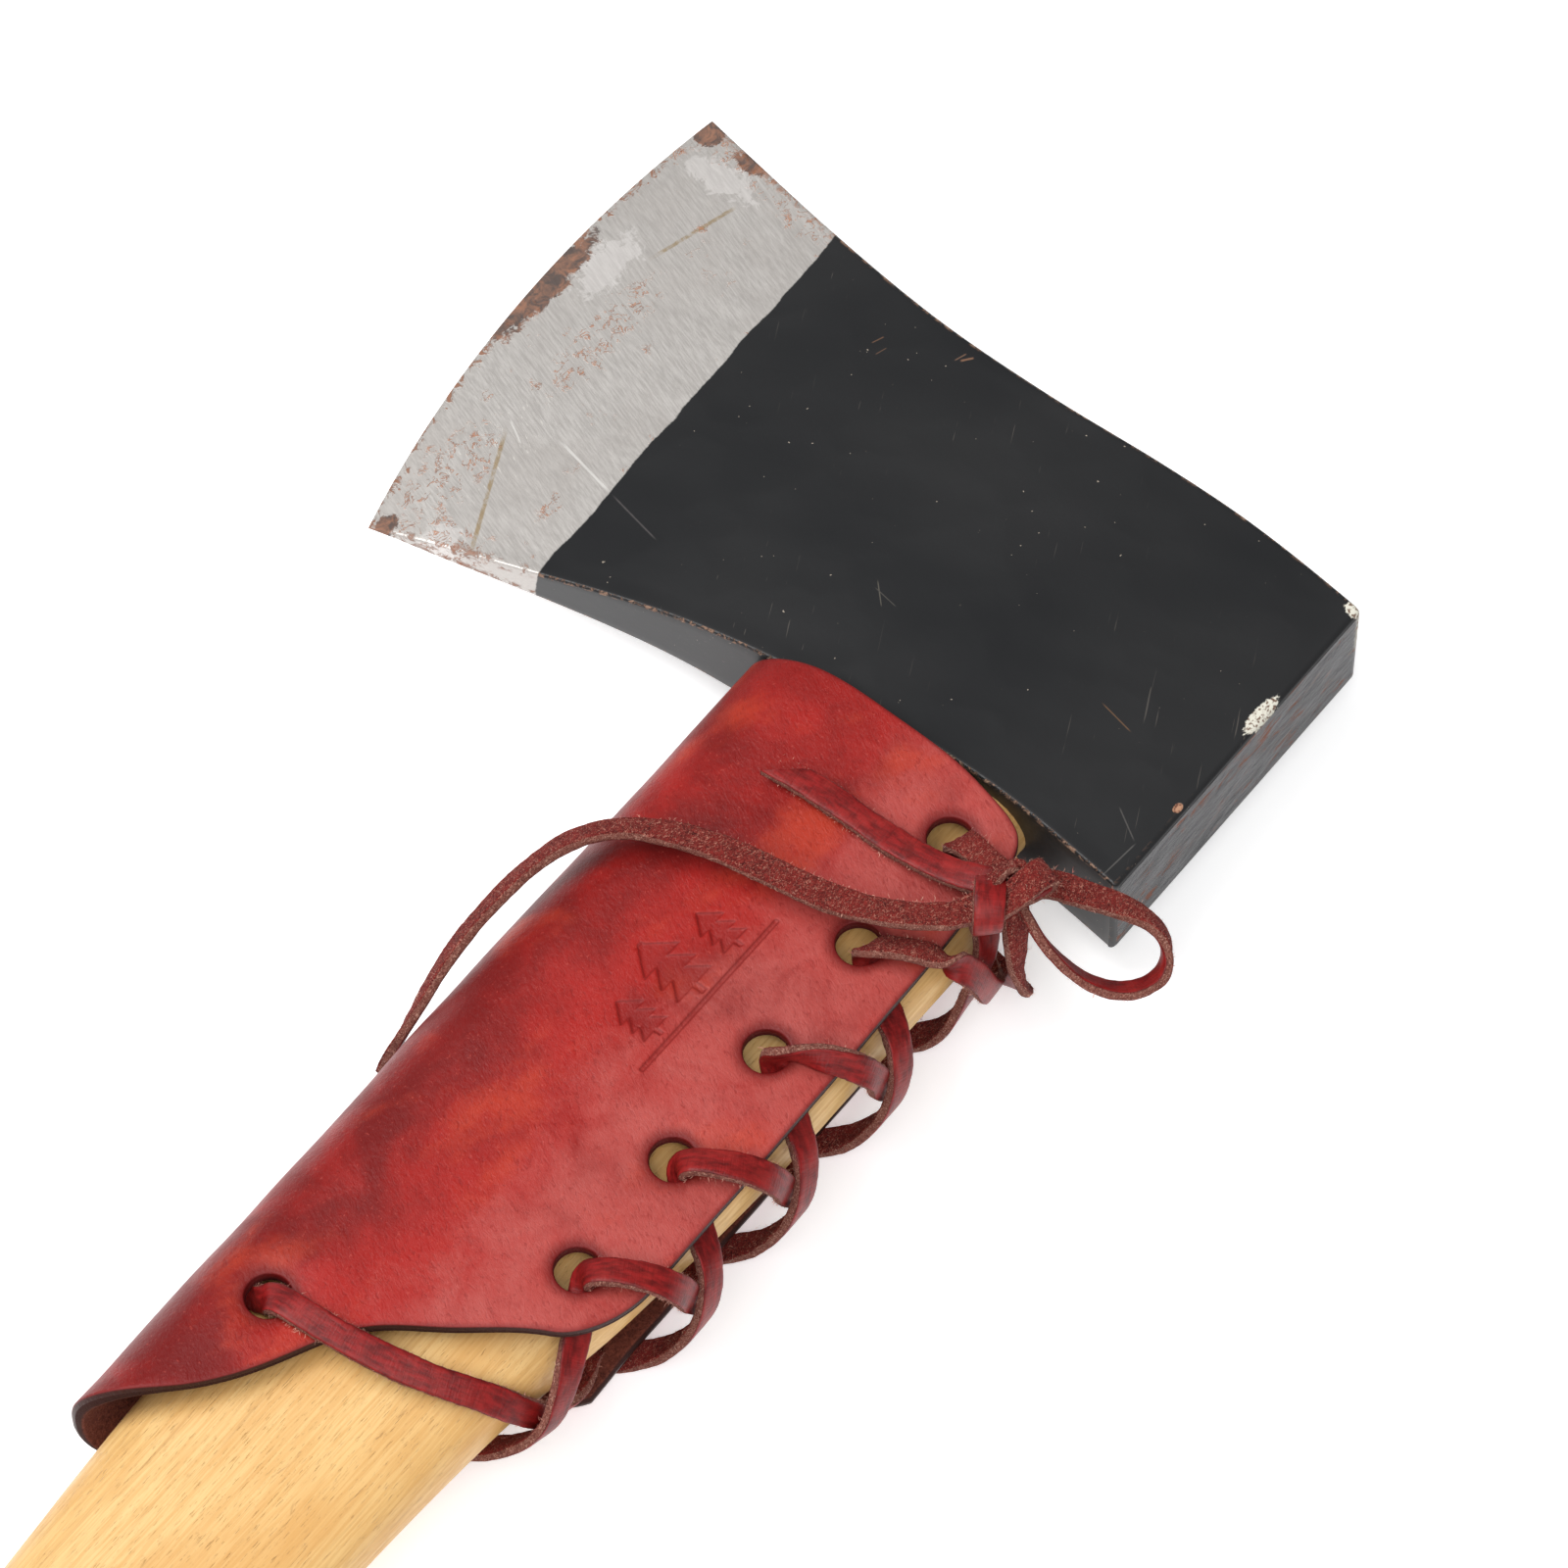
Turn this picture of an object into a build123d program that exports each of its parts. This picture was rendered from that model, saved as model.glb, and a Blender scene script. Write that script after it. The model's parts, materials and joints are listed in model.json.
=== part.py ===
"""A camp hatchet lying on its cheek, with a laced leather guard round the neck of its haft.

Millimetres.  +X runs along the haft to the butt, +Y from the bit to the poll, and +Z is the
thickness of the head.  The origin is the bottom centre of the hatchet's box, so the table is z = 0.
"""

from build123d import *
import math
import os

# Frame: where the axis of the eye crosses the middle plane of the head
EYE_X = -156.45
EYE_Y = 30.5
EYE_Z = 18.0

# Head.  Lengths along Y are measured from the axis of the eye.
HEAD_LENGTH = 150.7
POLL_REACH = 45.0
POLL_HEIGHT = 66.2
HEAD_THICKNESS = 21.6
BLANK_EDGE = 0.5
EDGE_THICKNESS = 0.25
GRIND_SLOPE = 0.15
GRIND_REACH = 45.0
POLL_CHAMFER = 0.8
CHEEK_LEVEL = 2.0
CHEEK_HOLLOW = [(-79.0, 2.6), (-50.0, 6.1), (-22.0, 9.5)]
EYE_LENGTH = 47.0
EYE_WIDTH = 14.4
EYE_OFFSET = 1.5
BIT_REACH = HEAD_LENGTH - POLL_REACH
TOE = (-47.1, -103.1)
HEEL = (51.5, -97.4)
LOW_EDGE = [(42.4, -67.5), (36.4, -45.0), (32.4, -15.0), (30.6, 18.0)]
TOP_EDGE = [(-35.4, 18.0), (-34.8, -15.0), (-36.4, -45.0), (-40.8, -72.0)]

# Haft.  Each station: distance along X, bit-side edge, poll-side edge, half thickness.
HAFT_STATIONS = [
    (36.2, -26.4, 30.2, 9.4),
    (52.0, -26.8, 31.0, 10.5),
    (95.0, -26.6, 30.8, 10.5),
    (135.0, -26.0, 28.6, 10.2),
    (168.0, -24.2, 24.2, 9.8),
    (201.0, -22.7, 22.6, 10.0),
    (232.0, -20.6, 22.2, 10.6),
    (270.0, -17.0, 21.6, 11.6),
    (305.0, -14.6, 20.8, 12.0),
    (332.0, -14.4, 22.6, 12.3),
    (350.0, -16.4, 27.0, 12.8),
    (360.0, -16.8, 29.6, 12.6),
]
HAFT_ROUNDNESS = 2.6
BUTT_FILLET = 3.0
TENON_GAP = 0.05
TENON_PROUD = 0.6
HEAD_TOP = -35.4

# Wedges that spread the top of the haft in the eye
WEDGE_DEPTH = 38.0
WEDGE_THICKNESS = 3.2
WEDGE_TIP = 0.8
WEDGE_INSET = 2.5
STEEL_WEDGE_DEPTH = 20.0
STEEL_WEDGE_THICKNESS = 2.6
STEEL_WEDGE_TIP = 0.4
STEEL_WEDGE_HEIGHT = 9.0
STEEL_WEDGE_OFFSET = 9.0

# Leather guard
LEATHER = 2.5
GUARD_HALF_HEIGHT = 14.8
GUARD_FOLD = -29.6
GUARD_EDGE = 32.4
GUARD_EDGE_DROP = 1.2
FLAP_START = -15.0
FLAP_END = 14.0
FOLD_ROUNDNESS = 2.3
LOWER_EDGE = [(30.0, 26.4), (160.0, 28.9)]
GUARD_TOP = 28.0
GUARD_BOTTOM = 213.0
HOLE_DIAMETER = 7.5
HOLE_COUNT = 5
HOLE_PITCH = 24.3
HOLE_RISE = 0.4
FIRST_HOLE = (44.0, 19.4)
LOW_HOLE = (175.0, -14.0)

# Lace.  Heights are measured from the middle plane.
LACE_DIAMETER = 2.6
UNDER_FLAP = 10.7
OVER_FLAP = 16.4
CROSSING_GAP = 3.3
EDGE_BENDS = {1: (30.4, 36.0), -1: (27.6, 32.0)}
KNOT_CENTRE = (47.0, 34.5, 20.0)
KNOT_RADIUS = 4.8

MIDDLE = Plane(origin=(EYE_X, EYE_Y, EYE_Z), x_dir=(1, 0, 0), z_dir=(0, 0, 1))


def across(distance):
    """The plane square to the haft at a distance along it, with local x towards the poll."""
    return Plane(origin=(EYE_X + distance, EYE_Y, EYE_Z), x_dir=(0, 1, 0), z_dir=(1, 0, 0))


def placed(points):
    """Points measured from the eye, moved into the part's frame."""
    return [Vector(x + EYE_X, y + EYE_Y, z + EYE_Z) for x, y, z in points]


def oval_points(bit_side, poll_side, half_thickness, roundness=HAFT_ROUNDNESS, count=16):
    """A superellipse between two edges, as the corner points of a closed spline."""
    centre = (bit_side + poll_side) / 2
    half_width = (poll_side - bit_side) / 2
    points = []
    for step in range(count):
        angle = 2 * math.pi * step / count
        c = math.cos(angle)
        s = math.sin(angle)
        y = centre + half_width * math.copysign(abs(c) ** (2 / roundness), c)
        z = half_thickness * math.copysign(abs(s) ** (2 / roundness), s)
        points.append((y, z))
    return points


def bend_radii(points):
    """The largest tangent arc that each corner of a lace's route has room for."""
    radii = []
    for before, corner, after in zip(points, points[1:], points[2:]):
        run_in = corner - before
        run_out = after - corner
        turn = math.radians(run_in.get_angle(run_out))
        radii.append(0.45 * min(run_in.length, run_out.length) / math.tan(turn / 2))
    return radii


def lace_along(name, points):
    """A plain round lace along straight runs joined by tangent arcs."""
    route = placed(points)
    radii = bend_radii(route)
    with BuildPart() as tube:
        with BuildLine():
            line = FilletPolyline(*route, radius=radii)
        with BuildSketch(Plane(origin=line @ 0, z_dir=line % 0)):
            Circle(LACE_DIAMETER / 2)
        sweep()
    section = math.pi * LACE_DIAMETER**2 / 4
    share = tube.part.volume / (section * line.length)
    print(name, "length", round(line.length, 1), "volume over section x length", round(share, 4))
    print("   radii", [round(radius, 1) for radius in radii])
    return tube.part


def save(builder, name):
    builder.part.label = name
    export_step(builder.part, f"parts/{name}.step")


os.makedirs("parts", exist_ok=True)

# ---------------------------------------------------------------- head
half_poll = POLL_HEIGHT / 2
with BuildPart() as axe_head:
    # Side view of the head: bit arc, the two long edges that flare to toe and heel, flat poll
    with BuildSketch(MIDDLE.offset(-HEAD_THICKNESS)):
        with BuildLine():
            bit_arc = ThreePointArc(TOE, (1.5, -BIT_REACH), HEEL)
            Spline(HEEL, *LOW_EDGE, (half_poll, POLL_REACH))
            Line((half_poll, POLL_REACH), (-half_poll, POLL_REACH))
            Spline((-half_poll, POLL_REACH), *TOP_EDGE, TOE)
        make_face()
    extrude(amount=2 * HEAD_THICKNESS)
    # Wedge-shaped cheeks, slightly hollow behind the edge, level from the eye to the poll
    half = HEAD_THICKNESS / 2
    blank_end = -BIT_REACH - 1
    with BuildSketch(across(0)):
        with BuildLine():
            Line((blank_end, -BLANK_EDGE / 2), (blank_end, BLANK_EDGE / 2))
            for side in (1, -1):
                cheek = [(y, side * z) for y, z in CHEEK_HOLLOW]
                level_start = (CHEEK_LEVEL, side * half)
                chamfer_start = (POLL_REACH - POLL_CHAMFER, side * half)
                chamfer_end = (POLL_REACH + 1, side * (half - POLL_CHAMFER - 1))
                Spline(
                    (blank_end, side * BLANK_EDGE / 2),
                    *cheek,
                    level_start,
                    tangents=[(1, side * 0.09), (1, 0)],
                )
                Polyline(level_start, chamfer_start, chamfer_end, (POLL_REACH + 1, 0))
        make_face()
    extrude(amount=2 * POLL_HEIGHT, both=True, mode=Mode.INTERSECT)
    # Ground edge: two shallow cones about the centre of the bit arc, which leave facets at toe and heel
    bit_radius = bit_arc.radius
    arc_centre = MIDDLE.from_local_coords(bit_arc.arc_center)
    inner_radius = bit_radius - GRIND_REACH
    outer_radius = bit_radius + 3
    for side in (1, -1):
        with BuildSketch(Plane(origin=arc_centre, x_dir=(1, 0, 0), z_dir=(0, -1, 0))):
            Polygon(
                (bit_radius, side * EDGE_THICKNESS / 2),
                (outer_radius, side * EDGE_THICKNESS / 2),
                (outer_radius, side * HEAD_THICKNESS),
                (inner_radius, side * HEAD_THICKNESS),
                (inner_radius, side * (EDGE_THICKNESS / 2 + GRIND_SLOPE * GRIND_REACH)),
                align=None,
            )
        revolve(axis=Axis(arc_centre, (0, 0, 1)), mode=Mode.SUBTRACT)
    # Eye
    with BuildSketch(across(0)):
        with Locations((EYE_OFFSET, 0)):
            SlotOverall(EYE_LENGTH, EYE_WIDTH)
    extrude(amount=POLL_HEIGHT, both=True, mode=Mode.SUBTRACT)
save(axe_head, "axe_head")

# ---------------------------------------------------------------- wedges in the top of the haft
tenon_top = HEAD_TOP - TENON_PROUD
wedge_end = tenon_top + WEDGE_DEPTH
with BuildPart() as eye_wedge:
    # Long hardwood wedge that runs nearly the whole length of the eye
    eye_middle = MIDDLE.from_local_coords((0, EYE_OFFSET, 0))
    with BuildSketch(Plane(origin=eye_middle, x_dir=(1, 0, 0), z_dir=(0, 1, 0))):
        Polygon(
            (tenon_top, -WEDGE_THICKNESS / 2),
            (tenon_top, WEDGE_THICKNESS / 2),
            (wedge_end, WEDGE_TIP / 2),
            (wedge_end, -WEDGE_TIP / 2),
            align=None,
        )
    extrude(amount=EYE_LENGTH / 2 - WEDGE_INSET, both=True)

steel_end = tenon_top + STEEL_WEDGE_DEPTH
with BuildPart() as steel_wedges:
    # Two short steel wedges driven across the wooden one
    for side in (-1, 1):
        wedge_y = EYE_OFFSET + side * STEEL_WEDGE_OFFSET
        with BuildSketch(MIDDLE.offset(-STEEL_WEDGE_HEIGHT / 2)):
            Polygon(
                (tenon_top, wedge_y - STEEL_WEDGE_THICKNESS / 2),
                (tenon_top, wedge_y + STEEL_WEDGE_THICKNESS / 2),
                (steel_end, wedge_y + STEEL_WEDGE_TIP / 2),
                (steel_end, wedge_y - STEEL_WEDGE_TIP / 2),
                align=None,
            )
        extrude(amount=STEEL_WEDGE_HEIGHT)

# ---------------------------------------------------------------- haft
with BuildPart() as handle:
    for distance, bit_side, poll_side, half_thickness in HAFT_STATIONS:
        with BuildSketch(across(distance)):
            with BuildLine():
                Spline(*oval_points(bit_side, poll_side, half_thickness), periodic=True)
            make_face()
    loft()
    butt_face = handle.faces().sort_by(Axis.X)[-1]
    fillet(butt_face.edges(), BUTT_FILLET)
    # Tenon through the eye
    with BuildSketch(across(HAFT_STATIONS[0][0])):
        with Locations((EYE_OFFSET, 0)):
            SlotOverall(EYE_LENGTH - 2 * TENON_GAP, EYE_WIDTH - 2 * TENON_GAP)
    extrude(amount=tenon_top - HAFT_STATIONS[0][0])
    add(eye_wedge.part, mode=Mode.SUBTRACT)
    add(steel_wedges.part, mode=Mode.SUBTRACT)
save(handle, "handle")

with BuildPart() as wooden_wedge:
    add(eye_wedge.part)
    add(steel_wedges.part, mode=Mode.SUBTRACT)
save(wooden_wedge, "wooden_eye_wedge")
save(steel_wedges, "steel_eye_wedges")

# ---------------------------------------------------------------- leather guard
hole_row = [(FIRST_HOLE[0] + HOLE_PITCH * k, FIRST_HOLE[1] + HOLE_RISE * k) for k in range(HOLE_COUNT)]


def guard_side(inset):
    """Half turn of the fold and the two flaps, at a depth below the outer face of the leather."""
    height = GUARD_HALF_HEIGHT - inset
    edge_height = height - GUARD_EDGE_DROP
    mirrored_fold = 2 * FLAP_START - GUARD_FOLD
    turn = oval_points(GUARD_FOLD + inset, mirrored_fold - inset, height, FOLD_ROUNDNESS, 24)
    fold = [point for point in turn if point[0] <= FLAP_START + 0.001]
    Spline((GUARD_EDGE, edge_height), (FLAP_END, height), tangents=[(-1, 0.13), (-1, 0)])
    Line((FLAP_END, height), (FLAP_START, height))
    Spline(*fold, tangents=[(-1, 0), (1, 0)])
    Line((FLAP_START, -height), (FLAP_END, -height))
    Spline((FLAP_END, -height), (GUARD_EDGE, -edge_height), tangents=[(1, 0), (1, 0.13)])
    return edge_height


with BuildPart() as leather_guard:
    # Bent strip: two flaps that lie along the cheeks of the haft, joined by the fold
    with BuildSketch(across(GUARD_TOP)):
        with BuildLine():
            outer_edge = guard_side(0)
            inner_edge = guard_side(LEATHER)
            Line((GUARD_EDGE, outer_edge), (GUARD_EDGE, inner_edge))
            Line((GUARD_EDGE, -outer_edge), (GUARD_EDGE, -inner_edge))
        make_face()
    extrude(amount=GUARD_BOTTOM - GUARD_TOP)
    # Outline that both flaps share, seen square to the flaps
    with BuildSketch(MIDDLE.offset(-2 * GUARD_HALF_HEIGHT)):
        with BuildLine():
            Spline((35.6, -36.0), (35.2, -28.6), (32.2, -16.0), (31.6, -2.0), (32.2, 12.0), (34.6, 23.6))
            Spline((34.6, 23.6), (36.4, 27.4), (40.6, 29.6), tangents=[(0.35, 1), (1, 0.25)])
            Spline((40.6, 29.6), (88.0, 31.3), (135.0, 32.0), tangents=[(1, 0.05), (1, 0)])
            Spline((135.0, 32.0), (146.5, 29.6), (152.4, 24.4), tangents=[(1, 0), (0.55, -1)])
            Spline(
                (152.4, 24.4),
                (162.0, 11.6),
                (170.0, 1.4),
                (182.2, -5.6),
                (194.4, -13.7),
                (202.4, -22.6),
                (206.0, -28.0),
                (208.0, -36.0),
                tangents=[(0.55, -1), (0.2, -1)],
            )
            Line((208.0, -36.0), (35.6, -36.0))
        make_face()
    extrude(amount=4 * GUARD_HALF_HEIGHT, mode=Mode.INTERSECT)
    # The lower flap's laced edge is cut back in a straight line
    with BuildSketch(MIDDLE.offset(-2 * GUARD_HALF_HEIGHT)):
        (start_x, start_y), (end_x, end_y) = LOWER_EDGE
        beyond = 2 * GUARD_EDGE
        Polygon((start_x, start_y), (end_x, end_y), (end_x, beyond), (start_x, beyond), align=None)
    extrude(amount=2 * GUARD_HALF_HEIGHT, mode=Mode.SUBTRACT)
    # Lace holes, the same in both flaps
    with BuildSketch(MIDDLE.offset(-2 * GUARD_HALF_HEIGHT)):
        with Locations(*hole_row, LOW_HOLE):
            Circle(HOLE_DIAMETER / 2)
    extrude(amount=4 * GUARD_HALF_HEIGHT, mode=Mode.SUBTRACT)
save(leather_guard, "leather_guard")

# ---------------------------------------------------------------- lace
def low_crossing(side, stand_off):
    """From the low hole, over the haft's cheek and round its front, into the other flap's last hole."""
    return [
        (175.0, -12.6, side * OVER_FLAP),
        (174.4, -1.0, side * 16.6),
        (170.6, 12.6, side * 13.0),
        (165.6, 22.0 + 0.4 * stand_off, side * 9.2),
        (161.0, 27.0 + stand_off, side * 1.6),
        (156.4, 28.2 + 0.6 * stand_off, side * -5.4),
        (149.4, 27.0, side * -9.0),
        (hole_row[-1][0] + 0.3, hole_row[-1][1] + 1.7, side * -UNDER_FLAP),
    ]


def crossing(hole, side, stand_off):
    """Out of a hole, over the flap's edge, round the front of the haft, inside the other flap."""
    x, y = hole
    over_edge, past_edge = EDGE_BENDS[side]
    return [
        (x, y + 1.9, side * OVER_FLAP),
        (x - 4.6, over_edge, side * 16.8),
        (x - 8.0, past_edge + 0.3 * stand_off, side * 12.6),
        (x - 11.6, 34.2 + stand_off, side * 1.2),
        (x - 16.0, 34.0 + 0.4 * stand_off, side * -6.8),
        (x - 20.2, 28.6, side * -9.2),
        (x - HOLE_PITCH + 0.3, y + 1.3, side * -UNDER_FLAP),
    ]


def lace_side(first_side, low_stand_off, stand_offs):
    """One half of the lace, from its low hole up to the outside of its first hole."""
    points = low_crossing(first_side, low_stand_off)
    side = -first_side
    for hole, stand_off in zip(reversed(hole_row[1:]), stand_offs):
        points += crossing(hole, side, stand_off)
        side = -side
    top_x, top_y = hole_row[0]
    points.append((top_x, top_y + 1.9, side * OVER_FLAP))
    return points


# The bar inside the fold joins the two low holes
fold_bar = [
    (175.0, -15.2, -10.5),
    (175.0, -22.6, -8.2),
    (175.0, -25.7, -2.6),
    (175.0, -25.7, 2.6),
    (175.0, -22.6, 8.2),
    (175.0, -15.2, 10.5),
]
outer_strand = lace_side(-1, CROSSING_GAP, [0, CROSSING_GAP, 0, 0])
inner_strand = lace_side(1, 0, [CROSSING_GAP, 0, CROSSING_GAP, CROSSING_GAP])
from_upper_flap = [(46.6, 33.0, 19.8), (45.4, 26.8, 18.6)]
to_knot = [
    (45.4, 31.6, -16.2),
    (47.6, 36.9, -11.2),
    (50.6, 39.2, -2.0),
    (51.8, 39.2, 7.0),
    (49.8, 37.2, 13.4),
    (47.4, 35.2, 17.0),
]
lacing_route = from_upper_flap + outer_strand[::-1] + fold_bar + inner_strand + to_knot

loop_route = [
    KNOT_CENTRE,
    (42.6, 38.2, 19.0),
    (40.4, 43.1, 17.4),
    (37.6, 48.4, 15.8),
    (35.8, 53.9, 14.2),
    (36.8, 58.2, 12.8),
    (41.9, 61.0, 11.8),
    (47.5, 58.4, 11.6),
    (50.6, 52.4, 12.4),
    (50.8, 44.9, 14.6),
    (49.4, 39.4, 17.2),
    (47.8, 35.2, 19.4),
]
long_tail_route = [
    KNOT_CENTRE,
    (55.6, 32.7, 20.6),
    (61.0, 27.8, 21.6),
    (65.6, 20.4, 22.0),
    (68.4, 12.6, 22.0),
    (69.8, 3.5, 21.6),
    (71.0, -5.2, 21.0),
    (73.5, -13.6, 20.4),
    (77.0, -21.2, 19.4),
    (82.3, -27.0, 17.4),
    (90.1, -30.6, 14.4),
    (100.2, -32.2, 11.4),
    (109.9, -32.4, 8.4),
    (117.4, -31.6, 5.2),
    (123.9, -31.4, 0.8),
    (128.6, -32.2, -3.4),
]
short_tail_route = [
    KNOT_CENTRE,
    (50.0, 28.2, 19.0),
    (51.2, 20.2, 17.4),
    (51.6, 9.6, 16.8),
    (51.2, -1.0, 16.7),
    (52.4, -11.4, 17.2),
]

with BuildPart() as lace_knot:
    with Locations(*placed([KNOT_CENTRE])):
        Sphere(KNOT_RADIUS)

with BuildPart() as lacing:
    add(lace_along("lacing", lacing_route))
    add(lace_knot.part, mode=Mode.SUBTRACT)

with BuildPart() as lace_loop:
    add(lace_along("lace_loop", loop_route))
    add(lace_knot.part, mode=Mode.SUBTRACT)

with BuildPart() as lace_long_tail:
    add(lace_along("lace_long_tail", long_tail_route))
    add(lace_knot.part, mode=Mode.SUBTRACT)

with BuildPart() as lace_short_tail:
    add(lace_along("lace_short_tail", short_tail_route))
    add(lace_knot.part, mode=Mode.SUBTRACT)

save(lace_knot, "lace_knot")
save(lacing, "lacing")
save(lace_loop, "lace_loop")
save(lace_long_tail, "lace_long_tail")
save(lace_short_tail, "lace_short_tail")
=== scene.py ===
"""A camp hatchet with a laced leather guard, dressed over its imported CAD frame.

Points in the tables are in mm from the middle of the eye: +X along the haft to the butt, +Y to the poll and
+Z up.
"""

import json
import math

import bmesh
import bpy
import numpy as np
from mathutils import Matrix, Vector, kdtree
from mathutils.geometry import delaunay_2d_cdt


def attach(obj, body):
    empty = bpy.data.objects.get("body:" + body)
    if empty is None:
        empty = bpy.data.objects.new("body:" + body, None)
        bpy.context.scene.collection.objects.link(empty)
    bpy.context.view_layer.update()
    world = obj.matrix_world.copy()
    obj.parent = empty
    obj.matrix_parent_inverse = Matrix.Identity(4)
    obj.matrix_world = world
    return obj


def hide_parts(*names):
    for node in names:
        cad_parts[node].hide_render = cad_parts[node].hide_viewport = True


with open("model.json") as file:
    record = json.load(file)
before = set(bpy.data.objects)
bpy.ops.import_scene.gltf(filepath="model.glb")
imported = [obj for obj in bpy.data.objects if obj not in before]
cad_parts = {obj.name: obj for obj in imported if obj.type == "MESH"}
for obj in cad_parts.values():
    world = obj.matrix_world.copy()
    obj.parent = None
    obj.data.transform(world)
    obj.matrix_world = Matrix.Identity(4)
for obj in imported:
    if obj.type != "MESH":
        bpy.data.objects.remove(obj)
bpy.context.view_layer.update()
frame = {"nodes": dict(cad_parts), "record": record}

MM = 0.001
POLL_REACH = 45.0
mounts = {mount["name"]: mount for mount in frame["record"]["mounts"]}
EYE = np.array(mounts["poll_face"]["pos_m"]) - np.array([0, POLL_REACH * MM, 0])
TABLE = -EYE[2] / MM

# ---------------------------------------------------------------- camera
CAMERA_LENS = 202.5
CAMERA_SENSOR = 36.0
CAMERA_TURN = math.radians(231.06)
CAMERA_TILT = math.radians(29.05)
CAMERA_ROLL = math.radians(0.49)
CAMERA_DISTANCE = 1.4444
CAMERA_TARGET = (46.68, -12.83, 0.0)


def in_frame(points):
    """Points in mm from the middle of the eye, as metres in the frame."""
    return np.asarray(points, float) * MM + EYE


turned = Matrix.Rotation(
    -CAMERA_TURN, 4, "Z"
) @ Matrix.Rotation(CAMERA_TILT, 4, "X") @ Matrix.Rotation(-CAMERA_ROLL, 4, "Z")
camera = bpy.data.objects.new("camera", bpy.data.cameras.new("camera"))
camera.data.lens = CAMERA_LENS
camera.data.sensor_width = CAMERA_SENSOR
camera.data.clip_start = 0.05
camera.data.clip_end = 20
camera.matrix_world = Matrix.Translation(
    Vector(in_frame(CAMERA_TARGET))
) @ turned @ Matrix.Translation((0, 0, CAMERA_DISTANCE))
bpy.context.scene.collection.objects.link(camera)
bpy.context.scene.camera = camera


# ---------------------------------------------------------------- meshes
def make_mesh(name, points, faces, values=None, materials=(), stands_for=(), finish=None):
    """A smooth mesh from points in mm, with named numbers on its points, riding on the hatchet."""
    mesh = bpy.data.meshes.new(name)
    mesh.from_pydata(in_frame(points).tolist(), [], faces)
    for key, numbers in (values or {}).items():
        layer = mesh.attributes.new(key, "FLOAT", "POINT")
        layer.data.foreach_set("value", np.asarray(numbers, np.float32))
    shape = bmesh.new()
    shape.from_mesh(mesh)
    bmesh.ops.recalc_face_normals(shape, faces=shape.faces)
    shape.to_mesh(mesh)
    shape.free()
    mesh.polygons.foreach_set("use_smooth", [True] * len(mesh.polygons))
    for material in materials:
        mesh.materials.append(material)
    piece = bpy.data.objects.new(name, mesh)
    bpy.context.scene.collection.objects.link(piece)
    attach(piece, "root")
    if stands_for:
        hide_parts(*stands_for)
    return piece


def loft_faces(rings, size):
    """Quads between rings of the same size, with a face over each end."""
    faces = []
    for i in range(rings - 1):
        for j in range(size):
            k = (j + 1) % size
            faces.append((i * size + j, i * size + k, (i + 1) * size + k, (i + 1) * size + j))
    faces.append(tuple(range(size)))
    faces.append(tuple((rings - 1) * size + j for j in range(size)))
    return faces


def unit(vectors):
    return vectors / np.maximum(np.linalg.norm(vectors, axis=-1, keepdims=True), 1e-9)


def wave(x, seed, period, octaves=3):
    """Smooth random wobble along x, about -1 to 1, the same on every run."""
    draw = np.random.default_rng(seed)
    total = np.zeros_like(np.asarray(x, float))
    for octave in range(octaves):
        scale = 2**octave
        total += np.sin(
            np.asarray(x) * 2 * math.pi * scale / period * draw.uniform(0.8, 1.2) + draw.uniform(0, 6.28)
        ) / scale
    return total / 1.6


def smooth_step(value, low, high):
    t = np.clip((np.asarray(value, float) - low) / (high - low), 0, 1)
    return t * t * (3 - 2 * t)


def through(x, xs, ys):
    """A smooth curve through points, with no overshoot (monotone cubic)."""
    xs, ys, x = np.asarray(xs, float), np.asarray(ys, float), np.asarray(x, float)
    steps = np.diff(xs)
    slopes = np.diff(ys) / steps
    tangents = np.zeros_like(ys)
    tangents[0], tangents[-1] = slopes[0], slopes[-1]
    same = slopes[:-1] * slopes[1:] > 0
    weights = 2 * slopes[:-1] * slopes[1:] / np.where(same, slopes[:-1] + slopes[1:], 1)
    tangents[1:-1] = np.where(same, weights, 0)
    i = np.clip(np.searchsorted(xs, x) - 1, 0, len(xs) - 2)
    t = (np.clip(x, xs[0], xs[-1]) - xs[i]) / steps[i]
    return (
        (2 * t**3 - 3 * t**2 + 1) * ys[i]
        + (t**3 - 2 * t**2 + t) * steps[i] * tangents[i]
        + (3 * t**2 - 2 * t**3) * ys[i + 1]
        + (t**3 - t**2) * steps[i] * tangents[i + 1]
    )


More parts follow.
